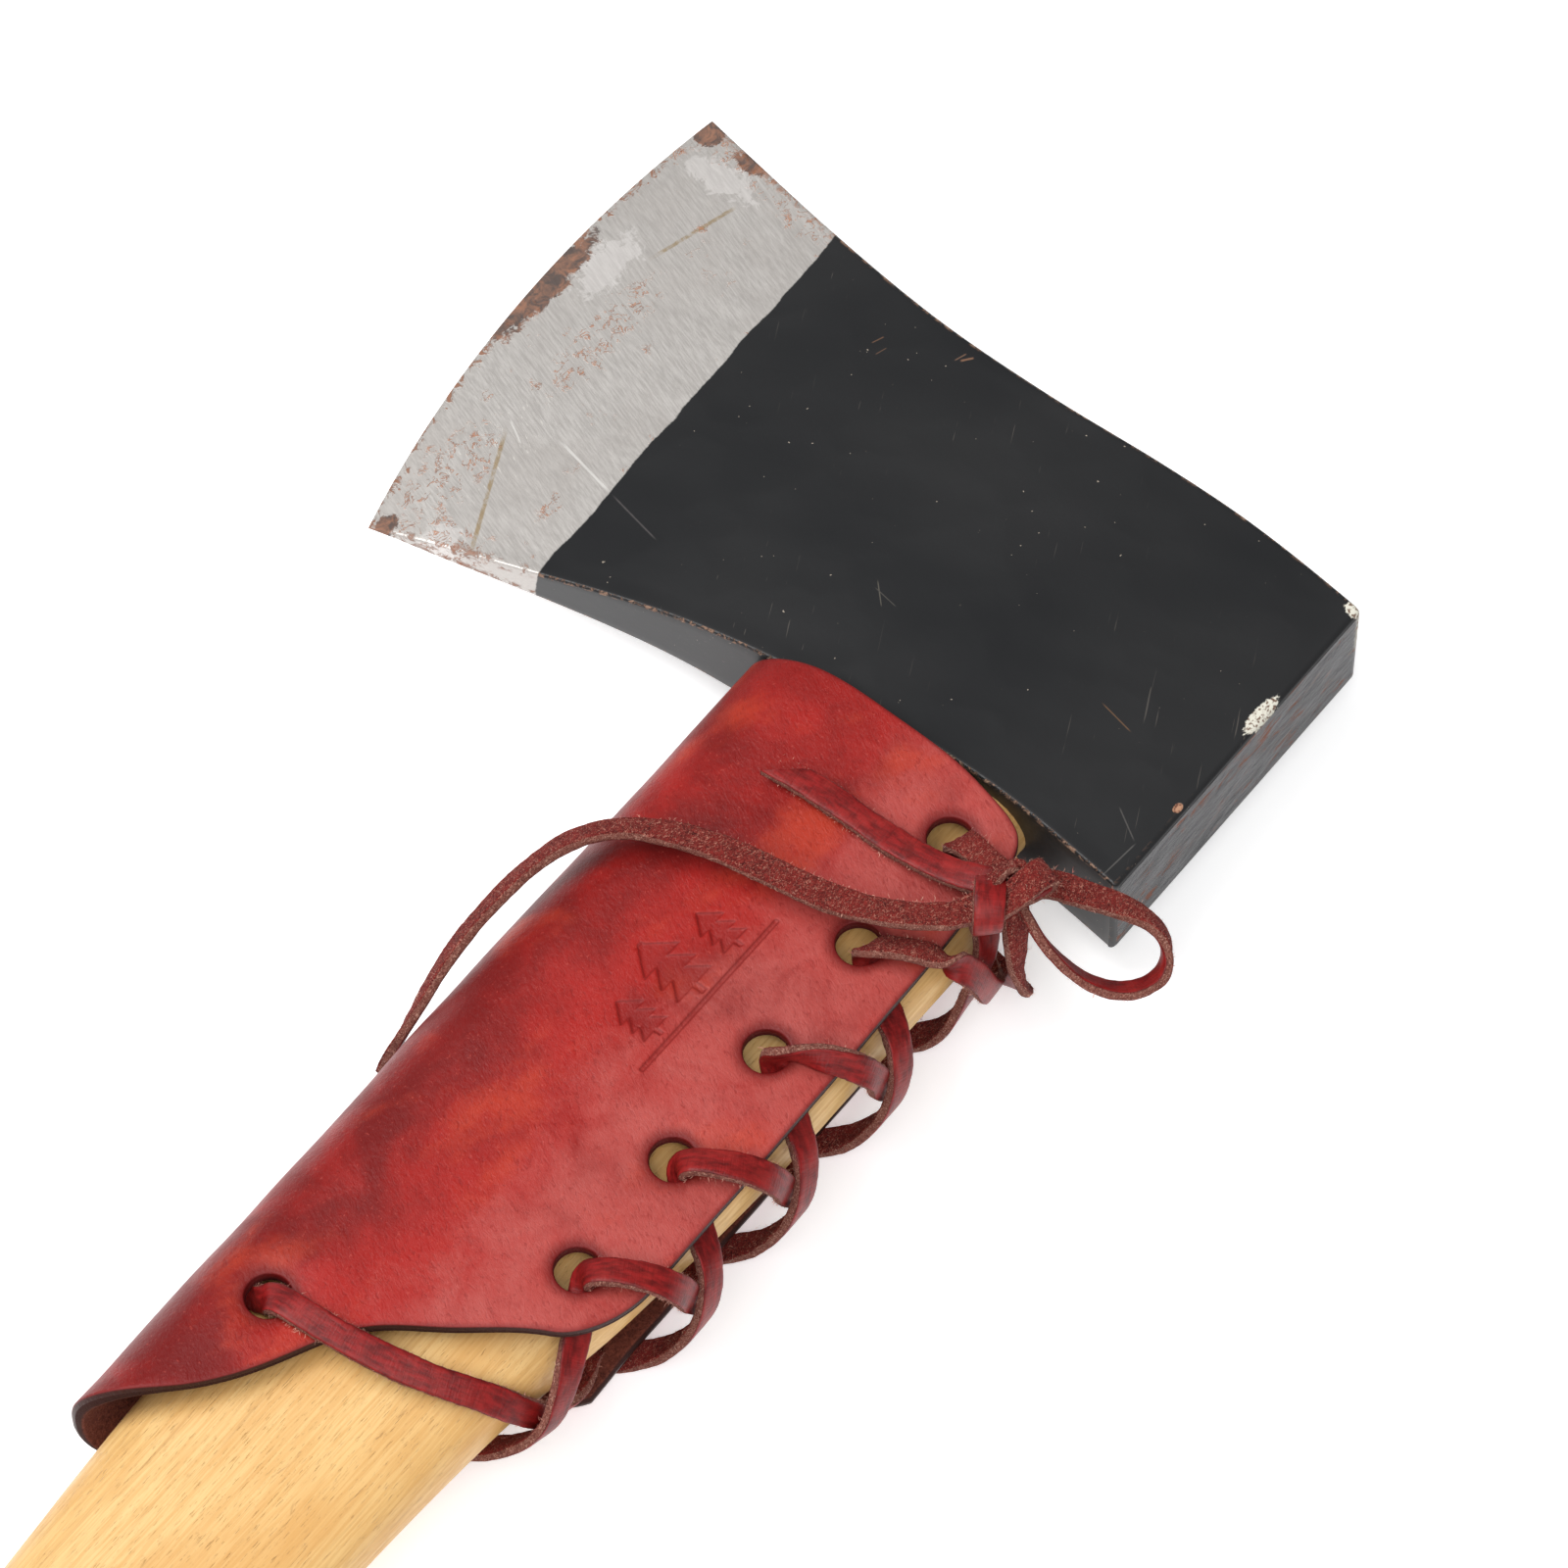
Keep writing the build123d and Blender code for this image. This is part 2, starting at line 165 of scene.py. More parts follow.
# ---------------------------------------------------------------- node helpers
class Look:
    """One material's nodes, with short ways to make the patterns used here."""

    def __init__(self, name):
        self.material = bpy.data.materials.new(name)
        self.material.use_nodes = True
        self.tree = self.material.node_tree
        self.tree.nodes.clear()
        self.place = self.add("ShaderNodeTexCoord").outputs["Object"]

    def add(self, kind, inputs=None, **settings):
        made = self.tree.nodes.new(kind)
        for key, value in settings.items():
            setattr(made, key, value)
        for key, value in (inputs or {}).items():
            if isinstance(value, bpy.types.NodeSocket):
                self.tree.links.new(value, made.inputs[key])
            else:
                made.inputs[key].default_value = value
        return made

    def stretched(self, stretch, turn=(0, 0, 0), move=(0, 0, 0)):
        """The place on the object in mm, stretched by an amount along each axis."""
        scale = tuple(1 / (MM * s) for s in stretch)
        turned = self.add(
            "ShaderNodeVectorRotate", {"Vector": self.place, "Rotation": turn}, rotation_type="EULER_XYZ"
        )
        return self.add(
            "ShaderNodeMapping", {"Vector": turned.outputs[0], "Scale": scale, "Location": move}
        ).outputs[0]

    def noise(
        self,
        size,
        detail=4.0,
        rough=0.6,
        stretch=(1, 1, 1),
        twist=0.0,
        turn=(0, 0, 0),
        move=(0, 0, 0),
        coords=None,
    ):
        """Cloudy noise whose blobs are about size mm across."""
        vector = coords or self.stretched([size * s for s in stretch], turn, move)
        inputs = {"Vector": vector, "Scale": 1.0, "Detail": detail, "Roughness": rough, "Distortion": twist}
        return self.add("ShaderNodeTexNoise", inputs).outputs["Fac"]

    def cells(self, size):
        """Rounded cells about size mm across."""
        inputs = {"Vector": self.stretched([size] * 3), "Scale": 1.0}
        return self.add("ShaderNodeTexVoronoi", inputs, feature="SMOOTH_F1").outputs["Distance"]

    def span(self, value, low, high, start=0.0, end=1.0):
        """value from low to high, eased, as start to end."""
        inputs = {"Value": value, "From Min": low, "From Max": high, "To Min": start, "To Max": end}
        return self.add("ShaderNodeMapRange", inputs, interpolation_type="SMOOTHSTEP").outputs[0]

    def maths(self, operation, a, b=0.0, c=0.0):
        return self.add("ShaderNodeMath", {0: a, 1: b, 2: c}, operation=operation).outputs[0]

    def times(self, a, b):
        return self.maths("MULTIPLY", a, b)

    def times_plus(self, a, b, c):
        return self.maths("MULTIPLY_ADD", a, b, c)

    def plus(self, a, b):
        return self.maths("ADD", a, b)

    def minus(self, a, b):
        return self.maths("SUBTRACT", a, b)

    def most(self, a, b):
        return self.maths("MAXIMUM", a, b)

    def size(self, a):
        return self.maths("ABSOLUTE", a)

    def blend(self, share, a, b):
        made = self.add("ShaderNodeMix", data_type="RGBA", blend_type="MIX")
        for socket, value in ((made.inputs[0], share), (made.inputs[6], a), (made.inputs[7], b)):
            if isinstance(value, bpy.types.NodeSocket):
                self.tree.links.new(value, socket)
            else:
                socket.default_value = value if isinstance(value, float) else (*value, 1.0)
        return made.outputs[2]

    def number(self, key):
        """A number kept on the mesh's points."""
        return self.add("ShaderNodeAttribute", attribute_name=key, attribute_type="GEOMETRY").outputs["Fac"]

    def bump(self, height, depth, normal=None):
        """Raises the surface by height times depth, in mm."""
        inputs = {"Height": height, "Distance": depth * MM, "Strength": 1.0}
        if normal:
            inputs["Normal"] = normal
        return self.add("ShaderNodeBump", inputs).outputs[0]

    def surface(self, colour, roughness, normal=None, **plain):
        inputs = {"Base Color": colour, "Roughness": roughness}
        if normal:
            inputs["Normal"] = normal
        for key, value in plain.items():
            inputs[key.replace("_", " ")] = value
        shader = self.add("ShaderNodeBsdfPrincipled", inputs)
        self.add("ShaderNodeOutputMaterial", {"Surface": shader.outputs[0]})
        return self.material


# ---------------------------------------------------------------- lace materials
def lace_material():
    """Red latigo lace: a glossy grain side, a bristly suede flesh side and paler, fibrous cut edges."""
    look = Look("lace_leather")
    grain_side = look.number("grain_side")
    along = look.number("along")
    across = look.number("across")
    strip = look.add("ShaderNodeCombineXYZ", {0: look.times(along, 0.3), 1: across, 2: grain_side}).outputs[0]
    creases = look.add(
        "ShaderNodeCombineXYZ", {0: look.times(along, 2.4), 1: look.times(across, 0.3)}
    ).outputs[0]
    streaks = look.noise(1, 5.0, 0.65, coords=strip)
    crease = look.noise(1, 3.0, 0.6, coords=creases)
    clouds = look.noise(5.0, 3.0, 0.55)
    fine = look.noise(0.22, 3.0, 0.7)
    fuzz = look.noise(0.5, 5.0, 0.75, twist=1.5)
    fibres = look.noise(0.42, 4.0, 0.7, stretch=(1.6, 1.0, 1.0), twist=1.6, move=(3, 3, 3))
    grain = look.blend(look.span(streaks, 0.32, 0.68), (0.085, 0.004, 0.004), (0.235, 0.010, 0.010))
    grain = look.blend(look.span(clouds, 0.42, 0.75, 0.0, 0.5), grain, (0.31, 0.024, 0.020))
    # Painted shade: the grain side is darker along the cross creases.
    grain = look.blend(look.span(crease, 0.32, 0.42, 0.3, 0.0), grain, (0.055, 0.004, 0.005))
    flesh = look.blend(look.span(fuzz, 0.38, 0.62), (0.060, 0.006, 0.006), (0.33, 0.036, 0.028))
    flesh = look.blend(look.span(clouds, 0.4, 0.7, 0.0, 0.35), flesh, (0.32, 0.022, 0.018))
    flesh = look.blend(look.span(fibres, 0.55, 0.63, 0.0, 0.85), flesh, (0.62, 0.25, 0.18))
    cut = look.blend(look.span(fuzz, 0.35, 0.65), (0.13, 0.030, 0.024), (0.36, 0.13, 0.095))
    cut = look.blend(look.span(fibres, 0.54, 0.62, 0.0, 0.8), cut, (0.66, 0.36, 0.27))
    uneven = look.plus(grain_side, look.times_plus(fine, 0.3, -0.15))
    share = look.span(uneven, 0.45, 0.7)
    on_edge = look.times(look.span(uneven, 0.52, 0.40), look.span(uneven, -0.75, -0.35))
    colour = look.blend(share, flesh, grain)
    colour = look.blend(on_edge, colour, cut)
    shoulder = look.span(look.size(look.minus(uneven, 0.55)), 0.0, 0.22, 0.7, 0.0)
    colour = look.blend(shoulder, colour, (0.045, 0.006, 0.006))
    rough_height = look.times(look.minus(1.0, share), look.plus(fuzz, look.times(fibres, 1.2)))
    normal = look.bump(rough_height, 0.5)
    ribs = look.plus(look.times(crease, 1.6), look.plus(streaks, look.times(fine, 0.3)))
    normal = look.bump(look.times(share, ribs), 0.07, normal)
    roughness = look.span(share, 0.0, 1.0, 0.92, 0.38)
    return look.surface(colour, roughness, normal, Specular_IOR_Level=0.22)


LACE = lace_material()

# ---------------------------------------------------------------- laces
STRAP_WIDTH = 5.0
STRAP_THICKNESS = 1.8
STRAP_STEP = 0.6
SHORTEST = 1e-6
HOLE_PITCH = 24.3
FIRST_HOLE = (44.0, 19.4)
HOLE_RISE = 0.4
UNDER_FLAP = 10.7
OVER_FLAP = 16.4
CROSSING_GAP = 3.3
EDGE_BENDS = {1: (30.4, 36.0), -1: (27.6, 32.0)}
KNOT_CENTRE = (47.0, 34.5, 20.0)
hole_row = [(FIRST_HOLE[0] + HOLE_PITCH * k, FIRST_HOLE[1] + HOLE_RISE * k) for k in range(5)]

# One side of a strap's section, from its middle to its edge: share of half width, share of half thickness
STRAP_SECTION = [
    (0.0, 1.0), (0.3, 0.995), (0.58, 0.975), (0.8, 0.93), (0.93, 0.82), (0.985, 0.55), (1.0, 0.0)
]


def curve_points(name, route):
    """Points along the NURBS curve that a route's points steer, in mm from the eye."""
    line = bpy.data.curves.new(name + "_line", "CURVE")
    line.dimensions = "3D"
    spline = line.splines.new("NURBS")
    spline.points.add(len(route) - 1)
    for point, place in zip(spline.points, in_frame(route)):
        point.co = (*place, 1.0)
    spline.order_u = 3
    spline.use_endpoint_u = True
    spline.resolution_u = 16
    holder = bpy.data.objects.new(name + "_line", line)
    mesh = bpy.data.meshes.new_from_object(holder)
    found = np.array([v.co for v in mesh.vertices], float)
    bpy.data.objects.remove(holder)
    bpy.data.curves.remove(line)
    bpy.data.meshes.remove(mesh)
    return (found - EYE) / MM


fibre_points = []
FIBRES_PER_STEP = 4


def add_fibres(centre, side, normal, wide, thick, draw):
    """Loose fibres that stand out of a lace's flesh side and cut edges, as ribbons of three rungs."""
    count = len(centre) * FIBRES_PER_STEP
    at = draw.integers(2, len(centre) - 2, count)
    on_edge = draw.random(count) < 0.72
    a = np.where(on_edge, draw.choice([-1.0, 1.0], count), draw.uniform(-0.9, 0.9, count))
    b = np.where(on_edge, draw.uniform(-1, 0.1, count), -1.0)
    root = centre[at] + (a * wide[at])[:, None] * side[at] + (b * thick[at])[:, None] * normal[at]
    lean = draw.normal(0, 0.55, (count, 3))
    outward = np.where(on_edge, a, 0)[:, None] * side[at] - np.where(on_edge, 0.35, 0.8)[:, None] * normal[at]
    reach = draw.gamma(2.0, 0.17, count)[:, None] + 0.1
    middle = root + unit(outward + lean) * reach * 0.6
    tip = middle + unit(outward + lean + draw.normal(0, 0.9, (count, 3))) * reach * 0.6
    breadth = unit(np.cross(tip - root, draw.normal(0, 1, (count, 3)))) * 0.032
    rungs = [root + breadth, root - breadth, middle + breadth, middle - breadth, tip]
    fibre_points.append(np.stack(rungs, 1))


def strap(name, steering, seed, width=STRAP_WIDTH, thickness=STRAP_THICKNESS, point_end=0.0, **dress):
    """A flat lace, as its piece and its centreline. steering lists (place, way that the grain side faces)."""
    route = [place for place, _ in steering]
    facing = unit(np.array([way for _, way in steering], float))
    raw = curve_points(name, route)
    spans = len(route) - 2
    at = np.clip(np.arange(len(route)) - 0.5, 0, spans) / spans
    raw_at = np.linspace(0, 1, len(raw))
    walked = np.concatenate([[0], np.cumsum(np.linalg.norm(np.diff(raw, axis=0), axis=1))])
    total = walked[-1]
    count = max(12, round(total / STRAP_STEP)) + 1
    along = np.linspace(0, total, count)
    centre = np.stack([np.interp(along, walked, raw[:, a]) for a in range(3)], 1)
    share = np.interp(along, walked, raw_at)
    way = np.stack([np.interp(share, at, facing[:, a]) for a in range(3)], 1)
    for _ in range(3):
        way[1:-1] = (way[:-2] + 2 * way[1:-1] + way[2:]) / 4
    tangent = unit(np.gradient(centre, axis=0))
    normal = unit(way - (way * tangent).sum(1, keepdims=True) * tangent)
    side = np.cross(tangent, normal)
    quarter = STRAP_SECTION[1:-1]
    section = [STRAP_SECTION[0]] + quarter + [STRAP_SECTION[-1]] + [
        (a, -b) for a, b in quarter[::-1]
    ] + [(0.0, -1.0)]
    section += [(-a, -b) for a, b in quarter] + [(-1.0, 0.0)] + [(-a, b) for a, b in quarter[::-1]]
    section = np.array(section)
    size = len(section)
    draw = np.random.default_rng(seed)
    wide = width / 2 * (1 + 0.04 * wave(along, seed, 17.0)) + 0.05 * wave(along, seed + 5, 2.3)
    thick = thickness / 2 * (1 + 0.05 * wave(along, seed + 9, 13.0))
    a = np.repeat(section[None, :, 0], count, 0)
    b = np.repeat(section[None, :, 1], count, 0)
    reach_start = np.clip(along / SHORTEST, 0, 1) * 2 - 1
    reach_end = np.clip((total - along) / max(point_end, SHORTEST), 0, 1) * 2 - 1
    a = np.minimum(a, np.minimum(reach_start, reach_end)[:, None] + 0.04)
    a = np.maximum(a, -1)
    ragged = draw.normal(0, 1, (count, size))
    ragged = (ragged + np.roll(ragged, 1, 0) + np.roll(ragged, -1, 0)) / 3
    a = a + 0.018 * ragged * (np.abs(section[None, :, 0]) > 0.9)
    b = b + np.where(section[None, :, 1] < 0, 0.10, 0.012) * ragged
    x = (a * wide[:, None])[..., None] * side[:, None, :]
    z = (b * thick[:, None])[..., None] * normal[:, None, :]
    points = (centre[:, None, :] + x + z).reshape(-1, 3)
    points[:, 2] = np.maximum(points[:, 2], TABLE)
    face_share = np.sign(section[:, 1]) * smooth_step(np.abs(section[:, 1]), 0.45, 0.9)
    values = {
        "grain_side": np.tile(face_share, count),
        "along": np.repeat(along, size),
        "across": (a * wide[:, None]).ravel(),
    }
    piece = make_mesh(name, points, loft_faces(count, size), values, [LACE], **dress)
    add_fibres(centre, side, normal, wide, thick, draw)
    return piece, centre


def low_crossing(side, stand_off):
    """From the low hole over the haft's cheek and round its front into the other flap's last hole."""
    x, y = hole_row[-1]
    return [
        ((175.0, -12.6, side * OVER_FLAP), (0, -0.8, side * 0.6)),
        ((174.4, -1.0, side * 16.6), (0.2, 0, side)),
        ((170.6, 12.6, side * 13.0), (0.2, 0.35, side * 0.9)),
        ((165.6, 22.0 + 0.4 * stand_off, side * 9.2), (0.1, 0.7, side * 0.7)),
        ((161.0, 27.0 + stand_off, side * 1.6), (0.1, 1, side * 0.1)),
        ((156.4, 28.2 + 0.6 * stand_off, side * -5.4), (0, 1, side * -0.3)),
        ((149.4, 27.0, side * -9.0), (0.1, 0.6, side * -0.8)),
        ((x + 0.3, y + 1.7, side * -UNDER_FLAP), (0.8, 0.2, side * -0.5)),
    ]


def crossing(k, side, stand_off):
    """From hole k over the laced edge, down between the flaps and into the next hole of the other flap."""
    x, y = hole_row[k]
    over_edge, past_edge = EDGE_BENDS[side]
    exit_way, rise_way = EXIT_WAYS.get((k, side), ((0.2, -0.75, side * 0.6), (-0.1, 0.1, side)))
    return [
        ((x, y + 1.9, side * OVER_FLAP), exit_way),
        ((x - 4.6, over_edge, side * 16.8), rise_way),
        ((x - 8.0, past_edge + 0.3 * stand_off, side * 12.6), (-0.1, 0.8, side * 0.65)),
        ((x - 11.6, 34.2 + stand_off, side * 1.2), (0, 1, side * 0.05)),
        ((x - 16.0, 34.0 + 0.4 * stand_off, side * -6.8), (0, 0.95, side * -0.35)),
        ((x - 20.2, 28.6, side * -9.2), (0.2, 0.5, side * -0.85)),
        ((x - HOLE_PITCH + 0.3, y + 1.3, side * -UNDER_FLAP), (0.8, 0.2, side * -0.5)),
    ]


# Which way the grain side faces as the lace leaves a hole, where it comes out turned over
EXIT_WAYS = {
    (2, 1): ((0.75, 0.45, -0.45), (0.9, 0.1, 0.55)),
    (1, 1): ((0.15, 0.75, -0.65), (0.35, 0.1, -0.95)),
}


def lace_side(first_side, low_stand_off, stand_offs):
    """One strand of the lacing from the low hole up to the first hole."""
    steering = low_crossing(first_side, low_stand_off)
    side = -first_side
    for k, stand_off in zip(range(4, 0, -1), stand_offs):
        steering += crossing(k, side, stand_off)
        side = -side
    top_x, top_y = hole_row[0]
    return steering + [((top_x, top_y + 1.9, side * OVER_FLAP), (0.1, 0.7, side * -0.7))]


fold_bar = [
    ((175.0, -15.2, -10.5), (0.9, 0, -0.4)),
    ((175.0, -22.6, -8.2), (0.3, -0.9, -0.3)),
    ((175.0, -25.7, -2.6), (0, -1, 0)),
    ((175.0, -25.7, 2.6), (0, -1, 0)),
    ((175.0, -22.6, 8.2), (0.3, -0.9, 0.3)),
    ((175.0, -15.2, 10.5), (0.9, 0, 0.4)),
]
outer_strand = lace_side(-1, CROSSING_GAP, [0, CROSSING_GAP, 0, 0])
inner_strand = lace_side(1, 0, [CROSSING_GAP, 0, CROSSING_GAP, CROSSING_GAP])
from_upper_flap = [((46.6, 33.0, 19.8), (0.1, -0.1, -1)), ((45.4, 26.8, 18.6), (0.1, 0.1, -1))]
to_knot = [
    ((45.4, 31.6, -16.2), (0, -0.2, -1)),
    ((47.6, 36.9, -11.2), (0.9, 0.2, -0.5)),
    ((50.6, 39.2, -2.0), (0.8, -0.6, 0)),
    ((51.8, 39.2, 7.0), (0.2, -1, -0.1)),
    ((49.8, 37.2, 13.4), (-0.1, -1, -0.4)),
    ((47.4, 35.2, 17.0), (0, -0.6, -0.8)),
]
lacing_steering = from_upper_flap + outer_strand[::-1] + fold_bar + inner_strand + to_knot
strap("lacing_strap", lacing_steering, 11, stands_for=["lacing"], finish="lace_leather")

loop_steering = [
    (KNOT_CENTRE, (0.1, 0.1, -1)),
    ((42.6, 38.2, 19.0), (-0.1, -0.1, -1)),
    ((40.4, 43.1, 17.4), (0.1, 0.05, -1)),
    ((37.6, 48.4, 15.8), (0.25, 0, -0.97)),
    ((35.8, 53.9, 14.2), (0.75, -0.3, -0.65)),
    ((36.8, 58.2, 12.8), (0.65, -0.75, -0.2)),
    ((41.9, 61.0, 11.8), (0.05, -0.75, 0.65)),
    ((47.5, 58.4, 11.6), (-0.45, -0.45, 0.8)),
    ((50.6, 52.4, 12.4), (-0.65, -0.3, 0.7)),
    ((50.8, 44.9, 14.6), (-0.8, -0.15, 0.5)),
    ((49.4, 39.4, 17.2), (-0.85, -0.1, 0.35)),
    ((47.8, 35.2, 19.4), (-0.85, -0.1, 0.35)),
]
long_tail_steering = [
    (KNOT_CENTRE, (0, -0.3, -1)),
    ((55.6, 32.7, 20.6), (0.1, -0.1, -1)),
    ((61.0, 27.8, 21.6), (0.2, 0.2, -1)),
    ((65.6, 20.4, 22.0), (0.1, 0.1, -1)),
    ((68.4, 12.6, 22.0), (0, 0, -1)),
    ((69.8, 3.5, 21.6), (0, 0, -1)),
    ((71.0, -5.2, 21.0), (0.1, 0, -1)),
    ((73.5, -13.6, 20.4), (0.3, 0, -0.95)),
    ((77.0, -21.2, 19.4), (0.45, 0.2, -0.85)),
    ((82.3, -27.0, 17.4), (0.3, 0.5, -0.8)),
    ((90.1, -30.6, 14.4), (0.1, 0.7, -0.7)),
    ((100.2, -32.2, 11.4), (0, 0.75, -0.65)),
    ((109.9, -32.4, 8.4), (0, 0.8, -0.6)),
    ((117.4, -31.6, 5.2), (0, 0.85, -0.5)),
    ((123.9, -31.4, 0.8), (0, 0.95, -0.3)),
    ((128.6, -32.2, -3.4), (0, 1, -0.1)),
]
short_tail_steering = [
    (KNOT_CENTRE, (0, 0.1, 1)),
    ((50.0, 28.2, 19.0), (0, 0.3, 1)),
    ((51.2, 20.2, 17.4), (0, 0.15, 1)),
    ((51.6, 9.6, 16.8), (0, 0, 1)),
    ((51.2, -1.0, 16.7), (0, 0, 1)),
    ((52.4, -11.4, 17.2), (0, 0, 1)),
]
cords = {}
for name, steering, seed, tip in (
    ("lace_loop", loop_steering, 21, 0.0),
    ("lace_long_tail", long_tail_steering, 31, 9.0),
    ("lace_short_tail", short_tail_steering, 41, 7.0),
):
    cords[name] = strap(
        name + "_strap", steering, seed, point_end=tip, stands_for=[name], finish="lace_leather"
    )

# The knot: a turn of lace with its grain side out, and the folded end of the slipped loop
BAND_CENTRE = np.array([52.4, 33.8, 20.2])
BAND_ACROSS = np.array([-0.63, 0.78, 0.0])
BAND_DOWN = np.array([0.78, 0.63, 0.0])
BAND_RADII = (4.1, 3.3)
band_steering = []
for step in range(15):
    angle = math.radians(-100 + 27 * step)
    ring_way = BAND_DOWN * math.cos(angle) + np.array([0, 0, math.sin(angle)])
    place = BAND_CENTRE + BAND_DOWN * BAND_RADII[0] * math.cos(angle) + np.array(
        [0, 0, BAND_RADII[1] * math.sin(angle)]
    )
    place = place + BAND_ACROSS * (0.12 * (step - 7)) + ring_way * (0.35 * (step > 11))
    band_steering.append((tuple(place), tuple(ring_way + BAND_ACROSS * 0.12)))
fold_steering = [
    ((52.4, 35.2, 20.6), (-0.1, 0.2, -1)),
    ((50.2, 36.4, 22.2), (-0.2, 0.1, -1)),
    ((47.4, 37.2, 23.6), (-0.1, -0.1, -1)),
    ((44.6, 37.6, 23.6), (0.3, -0.3, -1)),
    ((42.6, 37.8, 22.2), (0.9, -0.3, -0.5)),
    ((42.6, 38.0, 20.2), (1, -0.3, 0.4)),
    ((45.0, 37.0, 19.0), (0.2, 0, 1)),
    ((48.0, 35.4, 18.6), (0, 0, 1)),
]
tuck_steering = [
    ((53.6, 32.6, 20.0), (0.2, 0.3, -1)),
    ((50.8, 32.6, 22.4), (0.3, 0.6, -0.9)),
    ((48.0, 32.4, 23.6), (0.1, 0.7, -0.8)),
    ((45.6, 33.2, 23.2), (-0.3, 0.6, -0.8)),
    ((44.6, 34.8, 21.4), (-0.5, 0.2, -0.8)),
    ((45.0, 36.0, 19.4), (0, -0.6, -0.8)),
]
knot_band = strap(
    "lace_knot_turn", band_steering, 51, width=5.2, stands_for=["lace_knot"], finish="lace_leather"
)[0]
knot_fold = strap("lace_knot_fold", fold_steering, 61, width=5.0, finish="lace_leather")[0]
knot_tuck = strap("lace_knot_tuck", tuck_steering, 71, width=3.2, thickness=1.6, finish="lace_leather")[0]

fibres = np.concatenate(fibre_points).reshape(-1, 3)
look = Look("lace_fibre")
fibre_colour = look.blend(
    look.span(look.noise(1.3, 2.0), 0.35, 0.65), (0.34, 0.10, 0.075), (0.66, 0.36, 0.27)
)
ribbons = []
for first in range(0, len(fibres), 5):
    ribbons += [(first, first + 1, first + 3, first + 2), (first + 2, first + 3, first + 4)]
make_mesh("lace_fibres", fibres, ribbons, None, [look.surface(fibre_colour, 0.85)], finish="lace_leather")

# The free runs of lace with their lengths along the middle of the strap in metres, their far ends and the
# knot pieces; the loop only looks up each run's piece and centreline.
for name, length, far_end, pieces in (
    ("lace_loop", 0.065, "object", [knot_band, knot_fold, knot_tuck]),
    ("lace_long_tail", 0.128, "bare", []),
    ("lace_short_tail", 0.047, "bare", []),
):
    piece, centre = cords[name]

# ---------------------------------------------------------------- plane curves
def curve(points, start=None, end=None, step=0.4):
    """Points along a smooth plane curve through points, which may leave and arrive in given directions."""
    points = np.array(points, float)
    walked = np.concatenate([[0], np.cumsum(np.linalg.norm(np.diff(points, axis=0), axis=1))])
    gaps = np.diff(walked)
    count = len(points)
    system = np.zeros((count, count))
    wanted = np.zeros((count, 2))
    for i in range(1, count - 1):
        before, after = gaps[i - 1], gaps[i]
        system[i, i - 1 : i + 2] = 1 / before, 2 / before + 2 / after, 1 / after
        wanted[i] = 3 * ((points[i] - points[i - 1]) / before**2 + (points[i + 1] - points[i]) / after**2)
    for i, near, direction, gap in ((0, 1, start, gaps[0]), (count - 1, count - 2, end, gaps[-1])):
        if direction is None:
            system[i, i], system[i, near] = 2, 1
            wanted[i] = 3 * (points[max(i, near)] - points[min(i, near)]) / gap
        else:
            system[i, i] = 1
            wanted[i] = unit(np.array(direction, float))
    slopes = np.linalg.solve(system, wanted)
    at = np.linspace(0, walked[-1], max(3, round(walked[-1] / step)) + 1)
    i = np.clip(np.searchsorted(walked, at) - 1, 0, count - 2)
    t = ((at - walked[i]) / gaps[i])[:, None]
    gap = gaps[i][:, None]
    return (
        (2 * t**3 - 3 * t**2 + 1) * points[i]
        + (t**3 - 2 * t**2 + t) * gap * slopes[i]
        + (3 * t**2 - 2 * t**3) * points[i + 1]
        + (t**3 - t**2) * gap * slopes[i + 1]
    )


def even(points, step):
    """The same line with its points step apart."""
    walked = np.concatenate([[0], np.cumsum(np.linalg.norm(np.diff(points, axis=0), axis=1))])
    at = np.linspace(0, walked[-1], max(2, round(walked[-1] / step)) + 1)
    return np.stack([np.interp(at, walked, points[:, a]) for a in range(points.shape[1])], 1)


# ---------------------------------------------------------------- leather guard
LEATHER = 2.5
GUARD_HALF_HEIGHT = 14.8
GUARD_FOLD = -29.6
GUARD_EDGE = 32.4
GUARD_EDGE_DROP = 1.2
LOWER_EDGE = [(30.0, 26.4), (160.0, 28.9)]
FLAP_START = -15.0
FLAP_END = 14.0
FOLD_ROUNDNESS = 2.3
HOLE_RADIUS = 3.75
LOW_HOLE = (175.0, -14.0)
RIM_RADIUS = 0.55
STAMP_DEPTH = 0.4
STAMP_BOX = (70.0, -7.0, 112.0, 9.0)


def guard_section():
    """The middle of the leather, from the nose of the fold to beyond the laced edge: y and z."""
    half_width = FLAP_START - GUARD_FOLD - LEATHER / 2
    height = GUARD_HALF_HEIGHT - LEATHER / 2
    angle = np.linspace(0, math.pi / 2, 120)
    fold = np.stack(
        [
            FLAP_START - half_width * np.cos(angle) ** (2 / FOLD_ROUNDNESS),
            height * np.sin(angle) ** (2 / FOLD_ROUNDNESS),
        ],
        1,
    )
    y = np.linspace(FLAP_START, 40, 150)[1:]
    drop = GUARD_EDGE_DROP * np.clip((y - FLAP_END) / (GUARD_EDGE - FLAP_END), 0, None) ** 2
    return even(np.concatenate([fold, np.stack([y, height - drop], 1)]), 0.2)


def fir(x, y, centre, height):
    """How deep inside a small three-tiered fir tree a point is, in mm, negative outside."""
    up = (x - centre[0]) / height
    out = np.abs(y - centre[1]) / height
    tiers = [np.minimum(0.36 * (top - up) / 0.42 - out, up - (top - 0.42)) for top in (0.46, 0.72, 1.0)]
    trunk = np.minimum(0.05 - out, np.minimum(up + 0.12, 0.1 - up))
    return height * np.maximum.reduce([*tiers, trunk])


